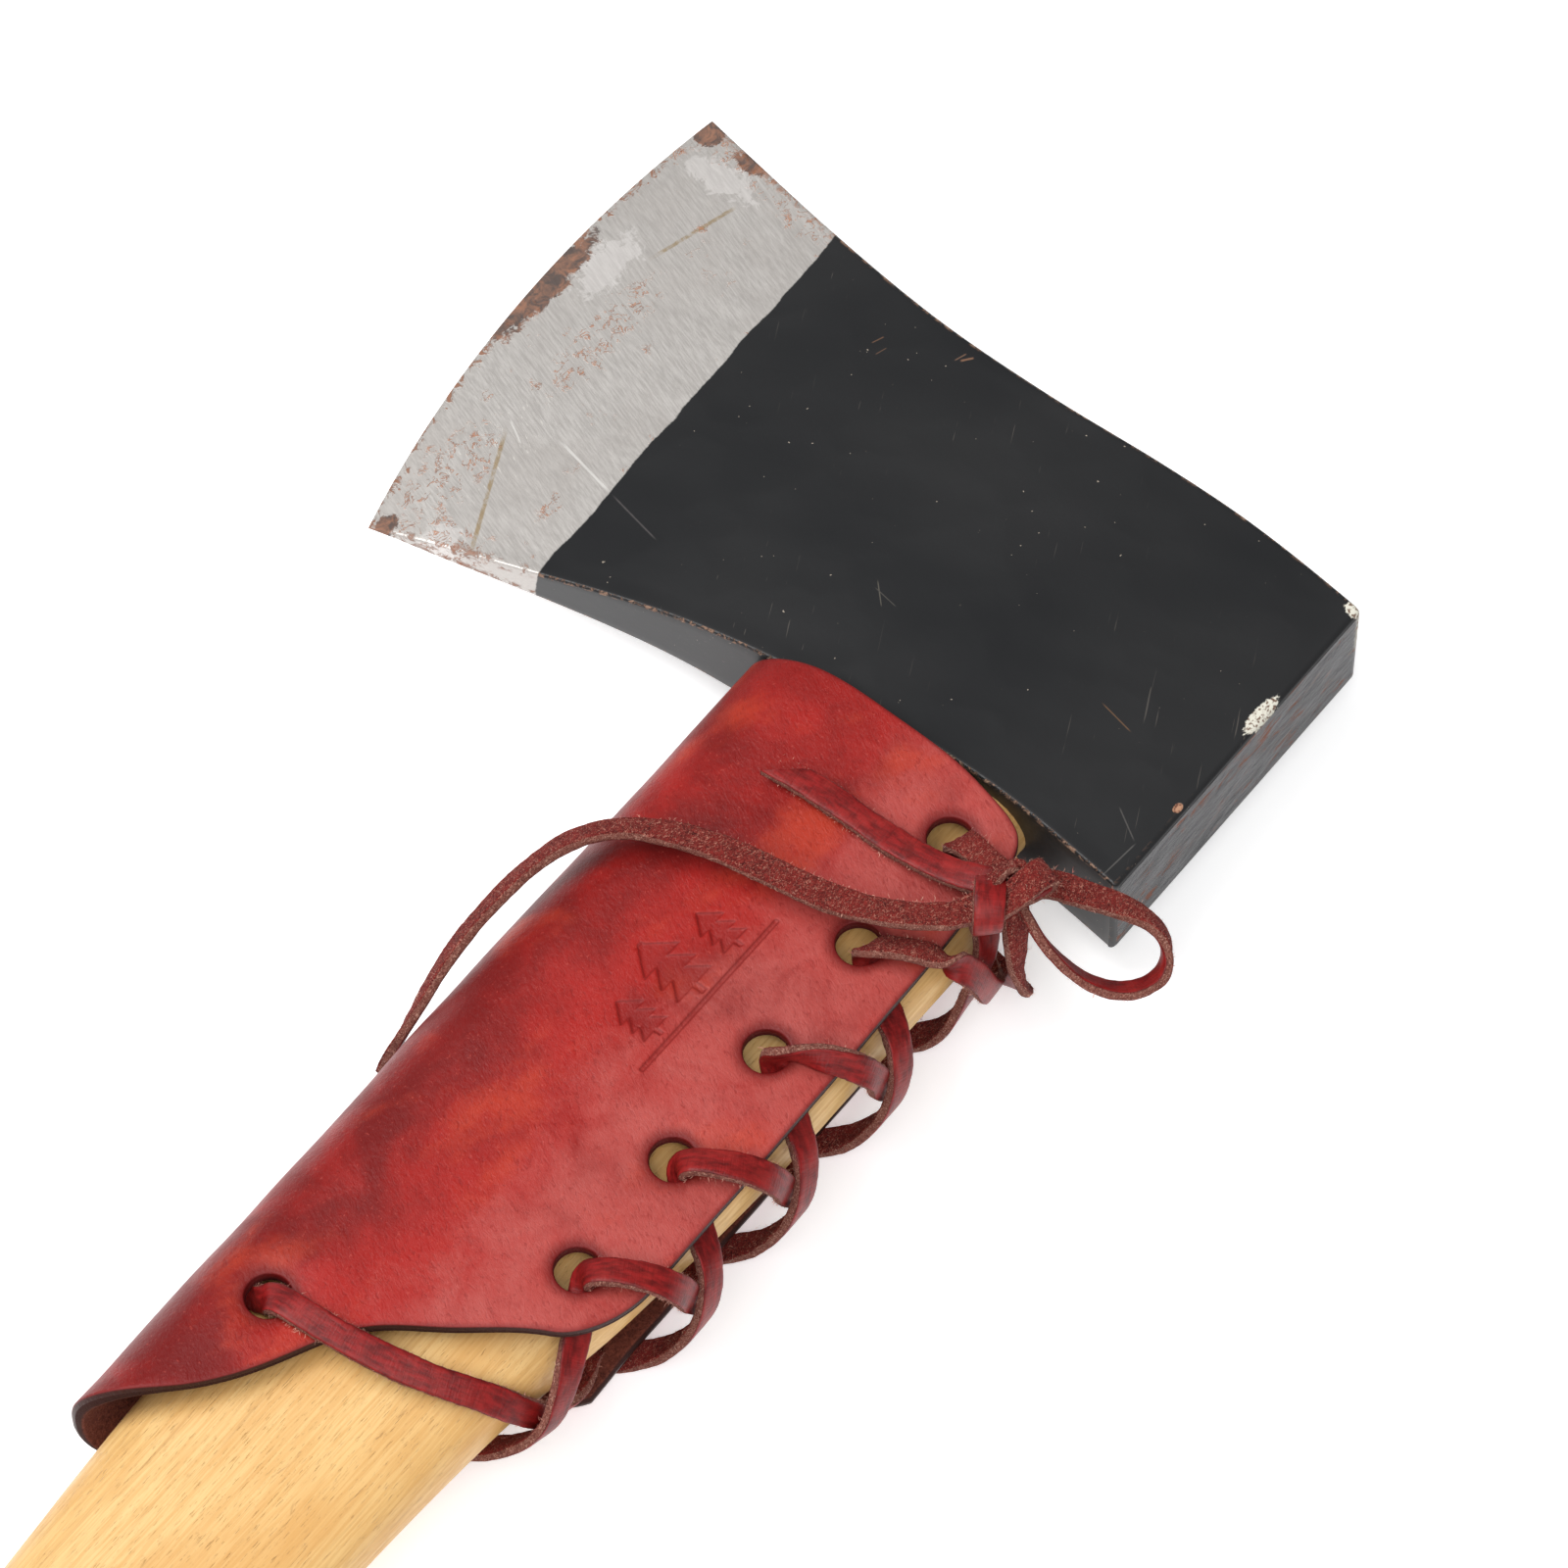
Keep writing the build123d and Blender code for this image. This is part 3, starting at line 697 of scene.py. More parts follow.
def stamp_share(x, y):
    """The debossed mark: three fir trees over a ground line, from 0 outside to 1 inside."""
    inside = np.maximum.reduce(
        [
            fir(y * -1, x, (-4.5, 90.6), 12.5),
            fir(y * -1, x, (-4.5, 80.4), 8.6),
            fir(y * -1, x, (-4.5, 100.8), 8.6),
            np.minimum(17.5 - np.abs(x - 90.6), 0.45 - np.abs(y - 7.0)),
        ]
    )
    return smooth_step(inside, -0.12, 0.28)


section = guard_section()
section_walk = np.concatenate([[0], np.cumsum(np.linalg.norm(np.diff(section, axis=0), axis=1))])
section_way = unit(np.gradient(section, axis=0))
outline = np.concatenate(
    [
        curve([(35.6, -36.0), (35.2, -28.6), (32.2, -16.0), (31.6, -2.0), (32.2, 12.0), (34.6, 23.6)]),
        curve([(34.6, 23.6), (36.4, 27.4), (40.6, 29.6)], (0.35, 1), (1, 0.25))[1:],
        curve([(40.6, 29.6), (88.0, 31.3), (135.0, 32.0)], (1, 0.05), (1, 0))[1:],
        curve([(135.0, 32.0), (146.5, 29.6), (152.4, 24.4)], (1, 0), (0.55, -1))[1:],
        curve(
            [
                (152.4, 24.4),
                (162.0, 11.6),
                (170.0, 1.4),
                (182.2, -5.6),
                (194.4, -13.7),
                (202.4, -22.6),
                (206.0, -28.0),
                (208.0, -36.0),
            ],
            (0.55, -1),
            (0.2, -1),
        )[1:],
    ]
)
outline = outline[outline[:, 1] >= section[0, 0]]
half_outline = np.stack([outline[:, 0], np.interp(outline[:, 1], section[:, 0], section_walk)], 1)
half_outline = np.concatenate([[[half_outline[0, 0], 0]], half_outline, [[half_outline[-1, 0], 0]]])
lower_outline = outline.copy()
lower_outline[:, 1] = np.minimum(outline[:, 1], np.interp(outline[:, 0], *np.transpose(LOWER_EDGE)))
lower_walk = np.interp(lower_outline[:, 1], section[:, 0], section_walk)
lower_half = np.stack([lower_outline[:, 0], lower_walk], 1)
lower_half = np.concatenate([[[lower_half[0, 0], 0]], lower_half, [[lower_half[-1, 0], 0]]])
mirrored = lower_half[::-1] * [1, -1]
RIM_STEP = 0.5
ON_RIM = 0.02
RIM_ROWS = (0.07, 0.2, 0.42, 0.75, 1.2)
GRID_STEP = (1.1, 0.95)
STAMP_STEP = 0.3
loops = [even(np.concatenate([half_outline, mirrored[1:]]), RIM_STEP)[:-1]]
holes = []
for side in (1, -1):
    for x, y in [*hole_row, LOW_HOLE]:
        centre = (x, side * np.interp(y, section[:, 0], section_walk))
        holes.append(centre)
        angle = np.linspace(0, 2 * math.pi, 48, endpoint=False)
        radius = HOLE_RADIUS * (1 + 0.015 * wave(angle, int(x), 2 * math.pi, 2))
        loops.append(np.stack([centre[0] + radius * np.cos(angle), centre[1] + radius * np.sin(angle)], 1))


def inside_loops(points):
    """Which flat points are on the leather, by counting the edges crossed."""
    crossings = np.zeros(len(points), int)
    for loop in loops:
        after = np.roll(loop, -1, 0)
        for (x0, y0), (x1, y1) in zip(loop, after):
            if y0 == y1:
                continue
            spans = (points[:, 1] >= min(y0, y1)) & (points[:, 1] < max(y0, y1))
            crossings += spans & (points[:, 0] < x0 + (points[:, 1] - y0) * (x1 - x0) / (y1 - y0))
    return crossings % 2 == 1


fine_rim = np.concatenate(
    [loop + share * (np.roll(loop, -1, 0) - loop) for loop in loops for share in (0, 0.25, 0.5, 0.75)]
)
rim_tree = kdtree.KDTree(len(fine_rim))
for i, (x, y) in enumerate(fine_rim):
    rim_tree.insert((x, y, 0), i)
rim_tree.balance()


def rim_gaps(points):
    return np.array([rim_tree.find((x, y, 0))[2] for x, y in points])


inner = []
for offset in RIM_ROWS:
    for loop in loops:
        way = unit(np.roll(loop, -1, 0) - np.roll(loop, 1, 0))
        for side in (1, -1):
            moved = loop + side * offset * np.stack([-way[:, 1], way[:, 0]], 1)
            inner.append(moved[rim_gaps(moved) > offset * 0.85])
reach_x = np.arange(26.0, 212.0, GRID_STEP[0])
reach_s = np.arange(-72.0, 72.0, GRID_STEP[1])
grid = np.array([(x + 0.55 * (row % 2), s) for row, s in enumerate(reach_s) for x in reach_x])
grid = grid[rim_gaps(grid) > 1.8]
stamp_walk = np.interp([STAMP_BOX[1], STAMP_BOX[3]], section[:, 0], section_walk)
in_stamp = (grid[:, 0] > STAMP_BOX[0]) & (grid[:, 0] < STAMP_BOX[2]) & (
    grid[:, 1] > stamp_walk[0]
) & (grid[:, 1] < stamp_walk[1])
close = np.array(
    [
        (x, s)
        for x in np.arange(STAMP_BOX[0], STAMP_BOX[2], STAMP_STEP)
        for s in np.arange(*stamp_walk, STAMP_STEP)
    ]
)
flat = np.concatenate([grid[~in_stamp], close, *inner])
flat = flat[inside_loops(flat)]
rim_points = np.concatenate(loops)
first, ties = 0, []
for loop in loops:
    ties += [(first + i, first + (i + 1) % len(loop)) for i in range(len(loop))]
    first += len(loop)
flat = np.concatenate([rim_points, flat])
made = delaunay_2d_cdt([Vector(p) for p in flat], ties, [], 0, 1e-5)
flat = np.array([tuple(v) for v in made[0]])
triangles = np.array([face for face in made[2] if len(face) == 3])
triangles = triangles[inside_loops(flat[triangles].mean(1))]
# A sliver with all its corners on the rim would be the same face outside and inside
at_rim = rim_gaps(flat) < ON_RIM
triangles = triangles[~at_rim[triangles].all(1)]
used = np.unique(triangles)
renumber = np.full(len(flat), -1)
renumber[used] = np.arange(len(used))
flat, triangles = flat[used], renumber[triangles]

gap = rim_gaps(flat)
gap[gap < ON_RIM] = 0
walk = np.abs(flat[:, 1])
fold_side = np.where(flat[:, 1] >= 0, 1.0, -1.0)
y = np.interp(walk, section_walk, section[:, 0])
z = np.interp(walk, section_walk, section[:, 1])
way_y = np.interp(walk, section_walk, section_way[:, 0])
way_z = np.interp(walk, section_walk, section_way[:, 1])
outward = unit(np.stack([np.zeros(len(flat)), -way_z, way_y * fold_side], 1))
middle = np.stack([flat[:, 0], y, z * fold_side], 1)
hole_gap = np.min([np.hypot(flat[:, 0] - cx, flat[:, 1] - cy) for cx, cy in holes], axis=0) - HOLE_RADIUS
pull = np.zeros(len(flat))
for x, _ in hole_row:
    pull += 0.7 * np.exp(-(((flat[:, 0] - x + 3.5) / 6.0) ** 2)) * smooth_step(y, 20, 31)
swell = 0.16 * wave(
    flat[:, 0] + 0.4 * flat[:, 1], 71, 61.0
) + 0.12 * wave(flat[:, 1] - 0.3 * flat[:, 0], 72, 43.0)
middle = middle + outward * (
    swell * smooth_step(gap, 0, 6) - 0.35 * np.exp(-((hole_gap / 2.2) ** 2)) - pull
)[:, None]
half = LEATHER / 2 * (1 - (1 - np.clip(gap / RIM_RADIUS, 0, 1)) ** 2.6) ** (1 / 2.6)
stamp = np.where(flat[:, 1] > 0, stamp_share(flat[:, 0], y), 0.0)
outer = middle + outward * (half - STAMP_DEPTH * stamp)[:, None]
inner_face = middle - outward * half[:, None]
on_rim = gap == 0
partner = np.where(on_rim, np.arange(len(flat)), len(flat) + np.cumsum(~on_rim) - 1)
points = np.concatenate([outer, inner_face[~on_rim]])
faces = triangles.tolist() + partner[triangles[:, ::-1]].tolist()


def both(numbers):
    return np.concatenate([numbers, numbers[~on_rim]])


values = {
    "rim_gap": both(gap),
    "hole_gap": both(np.clip(hole_gap, 0, 99)),
    "stamp": both(stamp),
    "outside": np.concatenate([np.where(on_rim, 0.0, 1.0), np.zeros((~on_rim).sum())]),
    "walk": both(flat[:, 1]),
}


def guard_material():
    """Burnished red vegetable-tanned leather, mottled, with dark edges, dark rims round the holes that are
    partly painted shade, painted shade in the fine creases and towards the fold, and a pale painted sheen
    away from the fold.
    """
    look = Look("guard_leather")
    rim_gap, hole_gap, stamp = look.number("rim_gap"), look.number("hole_gap"), look.number("stamp")
    outside = look.number("outside")
    clouds = look.noise(26.0, 3.0, 0.55, twist=0.6)
    patches = look.noise(9.0, 4.0, 0.6, twist=0.8, move=(3, 1, 7))
    blots = look.noise(3.2, 4.0, 0.65, move=(9, 4, 2))
    pores = look.noise(0.55, 3.0, 0.65)
    amber = look.noise(15.0, 4.0, 0.6, stretch=(1.6, 1.0, 1.0), turn=(0, 0, 0.4), move=(6, 2, 8))
    pebble = look.cells(1.0)
    creased = look.noise(0.6, 4.0, 0.7, stretch=(1.0, 2.6, 1.0), twist=0.8, turn=(0, 0, 0.5), move=(4, 4, 1))
    from_fold = look.size(look.number("walk"))
    # Random mottling, darkened towards the fold partly as burnished leather and partly as painted shade.
    mottle_and_fold_shade = look.times_plus(
        clouds, 1.5, look.times_plus(patches, 0.5, look.span(from_fold, 4.0, 44.0, -0.75, -0.35))
    )
    colour = look.blend(look.span(mottle_and_fold_shade, 0.1, 0.8), (0.135, 0.0035, 0.003), (0.315, 0.013, 0.010))
    # Painted sheen: a pale pinkish haze that grows away from the fold and comes in patches.
    painted_sheen = look.plus(look.span(from_fold, 24.0, 52.0, -0.35, 0.25), look.times(patches, 0.8))
    colour = look.blend(look.span(painted_sheen, 0.25, 0.8, 0.0, 0.6), colour, (0.40, 0.092, 0.079))
    colour = look.blend(look.span(amber, 0.52, 0.72, 0.0, 0.6), colour, (0.42, 0.040, 0.016))
    colour = look.blend(look.span(blots, 0.5, 0.8, 0.0, 0.3), colour, (0.15, 0.004, 0.004))
    # Painted shade: the leather is darker along the fine creases of the grain.
    colour = look.blend(look.span(creased, 0.34, 0.46, 0.4, 0.0), colour, (0.13, 0.003, 0.003))
    colour = look.blend(look.span(pores, 0.60, 0.72, 0.0, 0.35), colour, (0.50, 0.08, 0.06))
    wobble = look.times_plus(blots, 0.8, -0.4)
    # Darker round the holes: partly burnished rims, partly painted shade.
    hole_rim_and_shade = look.span(look.plus(hole_gap, wobble), 0.0, 2.8, 0.85, 0.0)
    colour = look.blend(hole_rim_and_shade, colour, (0.11, 0.004, 0.003))
    near_edge = look.span(look.plus(rim_gap, wobble), 0.1, 1.2, 0.7, 0.0)
    colour = look.blend(near_edge, colour, (0.15, 0.010, 0.010))
    cut = look.span(rim_gap, 0.06, 0.24, 1.0, 0.0)
    at_hole = look.span(hole_gap, 0.6, 1.4, 1.0, 0.0)
    edge_colour = look.blend(at_hole, (0.032, 0.008, 0.006), (0.085, 0.004, 0.004))
    colour = look.blend(cut, colour, edge_colour)
    inside_mark = look.span(stamp, 0.05, 0.9, 0.0, 0.35)
    mark_edge = look.span(look.size(look.minus(stamp, 0.5)), 0.1, 0.5, 0.7, 0.0)
    colour = look.blend(look.most(inside_mark, mark_edge), colour, (0.16, 0.010, 0.009))
    suede = look.noise(0.7, 5.0, 0.75, twist=1.0)
    flesh = look.blend(look.span(suede, 0.3, 0.7), (0.06, 0.014, 0.010), (0.20, 0.055, 0.035))
    colour = look.blend(look.span(outside, 0.1, 0.6, 1.0, 0.0), colour, flesh)
    colour = look.blend(look.span(rim_gap, 0.05, 0.3, 1.0, 0.0), colour, edge_colour)
    height = look.times_plus(pores, 0.5, look.times_plus(pebble, 0.4, creased))
    normal = look.bump(height, 0.13)
    normal = look.bump(look.times(suede, look.minus(1.0, outside)), 0.3, normal)
    roughness = look.span(patches, 0.3, 0.8, 0.46, 0.36)
    roughness = look.most(roughness, look.span(outside, 0.1, 0.6, 0.9, 0.0))
    return look.surface(colour, roughness, normal, Specular_IOR_Level=0.22)


guard = make_mesh(
    "guard_leather", points, faces, values, [guard_material()], ["leather_guard"], "guard_leather"
)

# ---------------------------------------------------------------- haft
HAFT_STATIONS = np.array(
    [
        (36.2, -26.4, 30.2, 9.4),
        (52.0, -26.8, 31.0, 10.5),
        (95.0, -26.6, 30.8, 10.5),
        (135.0, -26.0, 28.6, 10.2),
        (168.0, -24.2, 24.2, 9.8),
        (201.0, -22.7, 22.6, 10.0),
        (232.0, -20.6, 22.2, 10.6),
        (270.0, -17.0, 21.6, 11.6),
        (305.0, -14.6, 20.8, 12.0),
        (332.0, -14.4, 22.6, 12.3),
        (350.0, -16.4, 27.0, 12.8),
        (360.0, -16.8, 29.6, 12.6),
    ]
)
HAFT_ROUNDNESS = 2.6
BUTT_ROUND = 3.0
EYE_LENGTH = 47.0
EYE_WIDTH = 14.4
EYE_OFFSET = 1.5
TENON_TOP = -35.75
HAFT_RING = 96


def haft_ring(x, shrink=0.0):
    """One ring of the haft, pulled in by shrink mm, with the faint flats and ripples of a shaved haft."""
    low, high, thick = (through(x, HAFT_STATIONS[:, 0], HAFT_STATIONS[:, column]) for column in (1, 2, 3))
    angle = np.linspace(0, 2 * math.pi, HAFT_RING, endpoint=False)
    c, s = np.cos(angle), np.sin(angle)
    y = (high - low) / 2 * np.sign(c) * np.abs(c) ** (2 / HAFT_ROUNDNESS)
    z = thick * np.sign(s) * np.abs(s) ** (2 / HAFT_ROUNDNESS)
    reach = np.hypot(y, z)
    ripple = 0.10 * np.sin(x / 9.0 + 2 * np.cos(angle)) * np.sin(3 * angle + x / 47) - 0.12
    scale = 1 + (ripple - shrink) / reach
    return np.stack([np.full(HAFT_RING, x), (low + high) / 2 + y * scale, z * scale], 1)


def tenon_ring(x):
    """One ring of the straight tenon that fills the eye."""
    angle = np.linspace(0, 2 * math.pi, HAFT_RING, endpoint=False)
    c, s = np.abs(np.cos(angle)), np.abs(np.sin(angle))
    radius = EYE_WIDTH / 2 - 0.05
    flat_half = EYE_LENGTH / 2 - 0.05 - radius
    on_flat = c * radius <= flat_half * s
    reach = np.where(
        on_flat,
        radius / np.maximum(s, 1e-9),
        flat_half * c + np.sqrt(np.maximum(radius**2 - (flat_half * s) ** 2, 0)),
    )
    return np.stack([np.full(HAFT_RING, x), EYE_OFFSET + reach * np.cos(angle), reach * np.sin(angle)], 1)


rings = [tenon_ring(x) for x in np.linspace(TENON_TOP, HAFT_STATIONS[0, 0], 30)]
butt = HAFT_STATIONS[-1, 0]
rings += [haft_ring(x) for x in np.arange(HAFT_STATIONS[0, 0], butt - BUTT_ROUND, 1.6)]
rings += [
    haft_ring(butt - BUTT_ROUND * (1 - math.sin(a)), BUTT_ROUND * (1 - math.cos(a)))
    for a in np.linspace(0, math.pi / 2, 7)
]


def wood_material(name, light, mid, dark):
    """Oiled ash: long grain, fine open pores, darker streaks and handling marks."""
    look = Look(name)
    rings = look.noise(2.2, 4.0, 0.6, stretch=(40.0, 1.0, 2.6), twist=0.4)
    bands = look.maths("FRACT", look.times(rings, 7.0))
    bands = look.span(look.size(look.minus(bands, 0.5)), 0.0, 0.5)
    fibre = look.noise(0.5, 4.0, 0.65, stretch=(24.0, 1.0, 1.0))
    pores = look.noise(0.20, 3.0, 0.6, stretch=(13.0, 1.0, 1.0), move=(3, 8, 1))
    lines = look.noise(0.9, 5.0, 0.75, stretch=(60.0, 1.0, 1.0), move=(1, 1, 3))
    clouds = look.noise(14.0, 3.0, 0.6, stretch=(2.5, 1.0, 1.0))
    marks = look.noise(5.0, 5.0, 0.75, stretch=(3.5, 0.8, 0.8), twist=1.0, move=(7, 2, 5))
    colour = look.blend(look.span(bands, 0.2, 0.9, 0.0, 0.45), light, mid)
    colour = look.blend(look.span(fibre, 0.42, 0.68, 0.0, 0.5), colour, mid)
    colour = look.blend(
        look.span(clouds, 0.35, 0.7, 0.0, 0.55), colour, tuple(m * s for m, s in zip(mid, (1.0, 0.92, 0.8)))
    )
    pore_share = look.times(look.span(pores, 0.60, 0.70, 0.0, 0.6), look.span(clouds, 0.3, 0.62, 0.45, 1.0))
    colour = look.blend(pore_share, colour, tuple((m + d) / 2 for m, d in zip(mid, dark)))
    colour = look.blend(
        look.span(lines, 0.54, 0.70, 0.0, 0.45), colour, tuple((m + d) / 2 for m, d in zip(mid, dark))
    )
    colour = look.blend(look.span(marks, 0.62, 0.76, 0.0, 0.7), colour, tuple(d * 0.8 for d in dark))
    height = look.minus(look.times(fibre, 0.5), look.span(pores, 0.6, 0.72, 0.0, 0.5))
    normal = look.bump(height, 0.10)
    normal = look.bump(clouds, 0.5, normal)
    return look.surface(colour, look.span(fibre, 0.3, 0.7, 0.38, 0.52), normal)


haft_wood = wood_material("haft_wood", (0.70, 0.455, 0.185), (0.56, 0.30, 0.088), (0.22, 0.10, 0.03))
haft = make_mesh(
    "haft_wood", np.concatenate(rings), loft_faces(
        len(rings), HAFT_RING
    ), None, [haft_wood], ["handle"], "haft_wood"
)
haft.data.set_sharp_from_angle(angle=math.radians(40))
wedge_wood = wood_material("wedge_wood", (0.50, 0.31, 0.14), (0.36, 0.20, 0.08), (0.14, 0.07, 0.03))
wedge = frame["nodes"]["wooden_eye_wedge"]
wedge.data.materials.clear()
wedge.data.materials.append(wedge_wood)

# ---------------------------------------------------------------- head
HEAD_HALF = 10.8
HALF_POLL = 33.1
TOE = (-47.1, -103.1)
HEEL = (51.5, -97.4)
BIT_CENTRE = (-10.67, 122.36)
BIT_RADIUS = 228.4
EDGE_HALF = 0.125
GRIND_SLOPE = 0.15
CORNER_ROUND = 0.55
POLL_ROUND = 1.0
POLL_TAPER = 28.0
HEAD_LENGTH = 148.0
CHEEK = np.array(
    [(-106.7, 0.25), (-79.0, 2.6), (-50.0, 6.1), (-22.0, 9.5), (2.0, HEAD_HALF), (46.0, HEAD_HALF)]
)
top_edge = curve(
    [(-HALF_POLL, POLL_REACH), (-35.4, 18.0), (-34.8, -15.0), (-36.4, -45.0), (-40.8, -72.0), TOE]
)[::-1]
low_edge = curve(
    [(HALF_POLL, POLL_REACH), (30.6, 18.0), (32.4, -15.0), (36.4, -45.0), (42.4, -67.5), HEEL]
)[::-1]
FACE_STEPS = 150
SIDE_STEPS = 8
CORNER_STEPS = 4


def half_thickness(x, y):
    """Half the head's thickness: hollow cheeks, thinned by the ground edge."""
    radius = np.hypot(x - BIT_CENTRE[0], y - BIT_CENTRE[1])
    ground = EDGE_HALF + GRIND_SLOPE * (BIT_RADIUS - radius)
    return np.maximum(np.minimum(through(y, CHEEK[:, 0], CHEEK[:, 1]), ground), EDGE_HALF)


def head_row(share, v):
    """Points across the head at shares of its width, v of the way from the poll to the bit."""
    ends = []
    for edge, reach in ((top_edge, TOE[1]), (low_edge, HEEL[1])):
        y = POLL_REACH + (reach - POLL_REACH) * v
        ends.append((np.interp(y, edge[:, 1], edge[:, 0]), y))
    (x0, y0), (x1, y1) = ends
    x = x0 + (x1 - x0) * share
    straight = TOE[1] + (HEEL[1] - TOE[1]) * share
    bit_x = TOE[0] + (HEEL[0] - TOE[0]) * share
    arc = BIT_CENTRE[1] - np.sqrt(BIT_RADIUS**2 - (bit_x - BIT_CENTRE[0]) ** 2)
    y = y0 + (y1 - y0) * share + v**2 * (arc - straight)
    return x, y, abs(x1 - x0)


def head_ring(v):
    """One ring round the head: upper cheek, low side, lower cheek, top side, with rounded corners."""
    _, _, width = head_row(np.array([0.5]), v)
    corner_share = CORNER_ROUND / width
    share, height, gap = [], [], []
    face = np.linspace(0, 1, FACE_STEPS)
    face = corner_share + (1 - 2 * corner_share) * face
    corner = np.linspace(0, math.pi / 2, CORNER_STEPS + 2)[1:-1]
    side = np.linspace(1, -1, SIDE_STEPS)
    for flip in (1, -1):
        row = face if flip > 0 else face[::-1]
        share += row.tolist()
        height += [("face", flip, 0.0)] * len(row)
        gap += (np.minimum(row, 1 - row) * width).tolist()
        far = 1.0 if flip > 0 else 0.0
        for a in corner:
            share.append(far - flip * corner_share * (1 - math.sin(a)))
            height.append(("corner", flip, 1 - math.cos(a)))
            gap.append(0.0)
        for b in side:
            share.append(far)
            height.append(("side", flip, b))
            gap.append(-1.0 - (1 - abs(b)))
        for a in corner[::-1]:
            share.append(far - flip * corner_share * (1 - math.sin(a)))
            height.append(("corner", -flip, 1 - math.cos(a)))
            gap.append(0.0)
    share = np.array(share)
    x, y, _ = head_row(share, v)
    thick = half_thickness(x, y)
    edge_thick = np.where(
        share > 0.5,
        half_thickness(*head_row(np.array([1.0]), v)[:2])[0],
        half_thickness(*head_row(np.array([0.0]), v)[:2])[0],
    )
    round_off = np.minimum(CORNER_ROUND, 0.6 * edge_thick)
    z = np.zeros(len(share))
    for i, (kind, flip, amount) in enumerate(height):
        if kind == "face":
            z[i] = flip * thick[i]
        elif kind == "corner":
            z[i] = flip * (edge_thick[i] - round_off[i] * amount)
        else:
            z[i] = flip * amount * (edge_thick[i] - round_off[i])
    gap = np.array(gap)
    on_side = gap <= -1
    gap = np.where(on_side, (-gap - 1) * edge_thick, gap)
    return x, y, z, gap, on_side


rows = []
for a in np.linspace(0.04, 1.0, 30) ** 1.6:
    x, y, z, gap, on_side = head_ring(0.0)
    keep = a * (1 - POLL_ROUND / POLL_TAPER)
    rows.append(
        (
            x * keep,
            y,
            z * keep * (1 - POLL_ROUND / HEAD_HALF) / (1 - POLL_ROUND / POLL_TAPER),
            (1 - a) * HEAD_HALF + POLL_ROUND,
            on_side,
            True,
        )
    )
for a in np.linspace(math.pi / 2, 0, 6)[1:]:
    shrink = POLL_ROUND * (1 - math.cos(a))
    x, y, z, gap, on_side = head_ring(0.0)
    keep_x, keep_z = 1 - shrink / HALF_POLL, 1 - shrink / HEAD_HALF
    rows.append((x * keep_x, y - POLL_ROUND * (1 - math.sin(a)), z * keep_z, 0.0 * gap, on_side, False))
reach_v = np.concatenate(
    [np.linspace(POLL_ROUND / HEAD_LENGTH + 0.002, 0.5, 70), np.linspace(0.505, 1.0, 110)]
)
for v in reach_v:
    x, y, z, gap, on_side = head_ring(v)
    rows.append((x, y, z, np.minimum(gap, POLL_REACH - y), on_side, False))
points = np.concatenate([np.stack([x, y, z], 1) for x, y, z, *_ in rows])
edge_gap = np.concatenate([np.broadcast_to(gap, x.shape) for x, y, z, gap, *_ in rows])
on_poll = np.concatenate([np.full(len(x), float(poll)) for x, _, _, _, _, poll in rows])
bit_gap = BIT_RADIUS - np.hypot(points[:, 0] - BIT_CENTRE[0], points[:, 1] - BIT_CENTRE[1])
ripple = 0.07 * wave(points[:, 0] + 0.3 * points[:, 1], 81, 37.0) + 0.07 * wave(points[:, 1], 82, 29.0)
level = smooth_step(bit_gap, 6, 30) * smooth_step(edge_gap, 0, 4) * (1 - on_poll)
points[:, 2] += -np.sign(points[:, 2]) * np.abs(ripple) * level
points[:, 1] += on_poll * (
    0.10 * wave(points[:, 0] + 2 * points[:, 2], 83, 21.0) - 0.12
) * smooth_step(edge_gap, 0.8, 3)
values = {
    "edge_gap": edge_gap,
    "on_poll": on_poll,
    "bit_gap": bit_gap,
    "bare": -(points[:, 1] + 69.6 - 0.03 * points[:, 0]),
    "upper": smooth_step(points[:, 2], -0.2, 0.2),
    "share": smooth_step(points[:, 0], -20, 20),
}
size = len(rows[0][0])


def spot(look, centre, size, ragged, scale=2.2):
    """1 inside a ragged patch on the upper or lower cheek, centred on a point in mm, fading to 0."""
    x, y = in_frame((*centre, 0))[:2]
    parts = look.add("ShaderNodeSeparateXYZ", {0: look.place}).outputs
    dx = look.times(look.minus(parts[0], float(x)), 1 / (MM * size[0]))
    dy = look.times(look.minus(parts[1], float(y)), 1 / (MM * size[1]))
    away = look.maths("SQRT", look.plus(look.times(dx, dx), look.times(dy, dy)))
    return look.times_plus(look.noise(scale, 5.0, 0.7, twist=0.5), ragged, look.minus(1.0 - ragged / 2, away))


def scratch(look, start, end, half_width):
    """1 along a straight scratch between two points in mm."""
    (x0, y0), (x1, y1) = in_frame((*start, 0))[:2], in_frame((*end, 0))[:2]
    length = math.hypot(x1 - x0, y1 - y0)
    ux, uy = (x1 - x0) / length, (y1 - y0) / length
    parts = look.add("ShaderNodeSeparateXYZ", {0: look.place}).outputs
    dx = look.minus(parts[0], float(x0))
    dy = look.minus(parts[1], float(y0))
    run = look.times_plus(dx, float(ux), look.times(dy, float(uy)))
    off = look.size(look.minus(look.times(dx, float(uy)), look.times(dy, float(ux))))
    off = look.times_plus(look.noise(0.8, 3.0, 0.6), -half_width * MM * 0.8, off)
    line = look.span(off, half_width * MM * 0.2, half_width * MM, 1.0, 0.0)
    ends = look.maths(
        "MINIMUM", look.span(run, 0.0, length * 0.2), look.span(run, length * 0.85, length, 1.0, 0.0)
    )
    return look.times(line, ends)


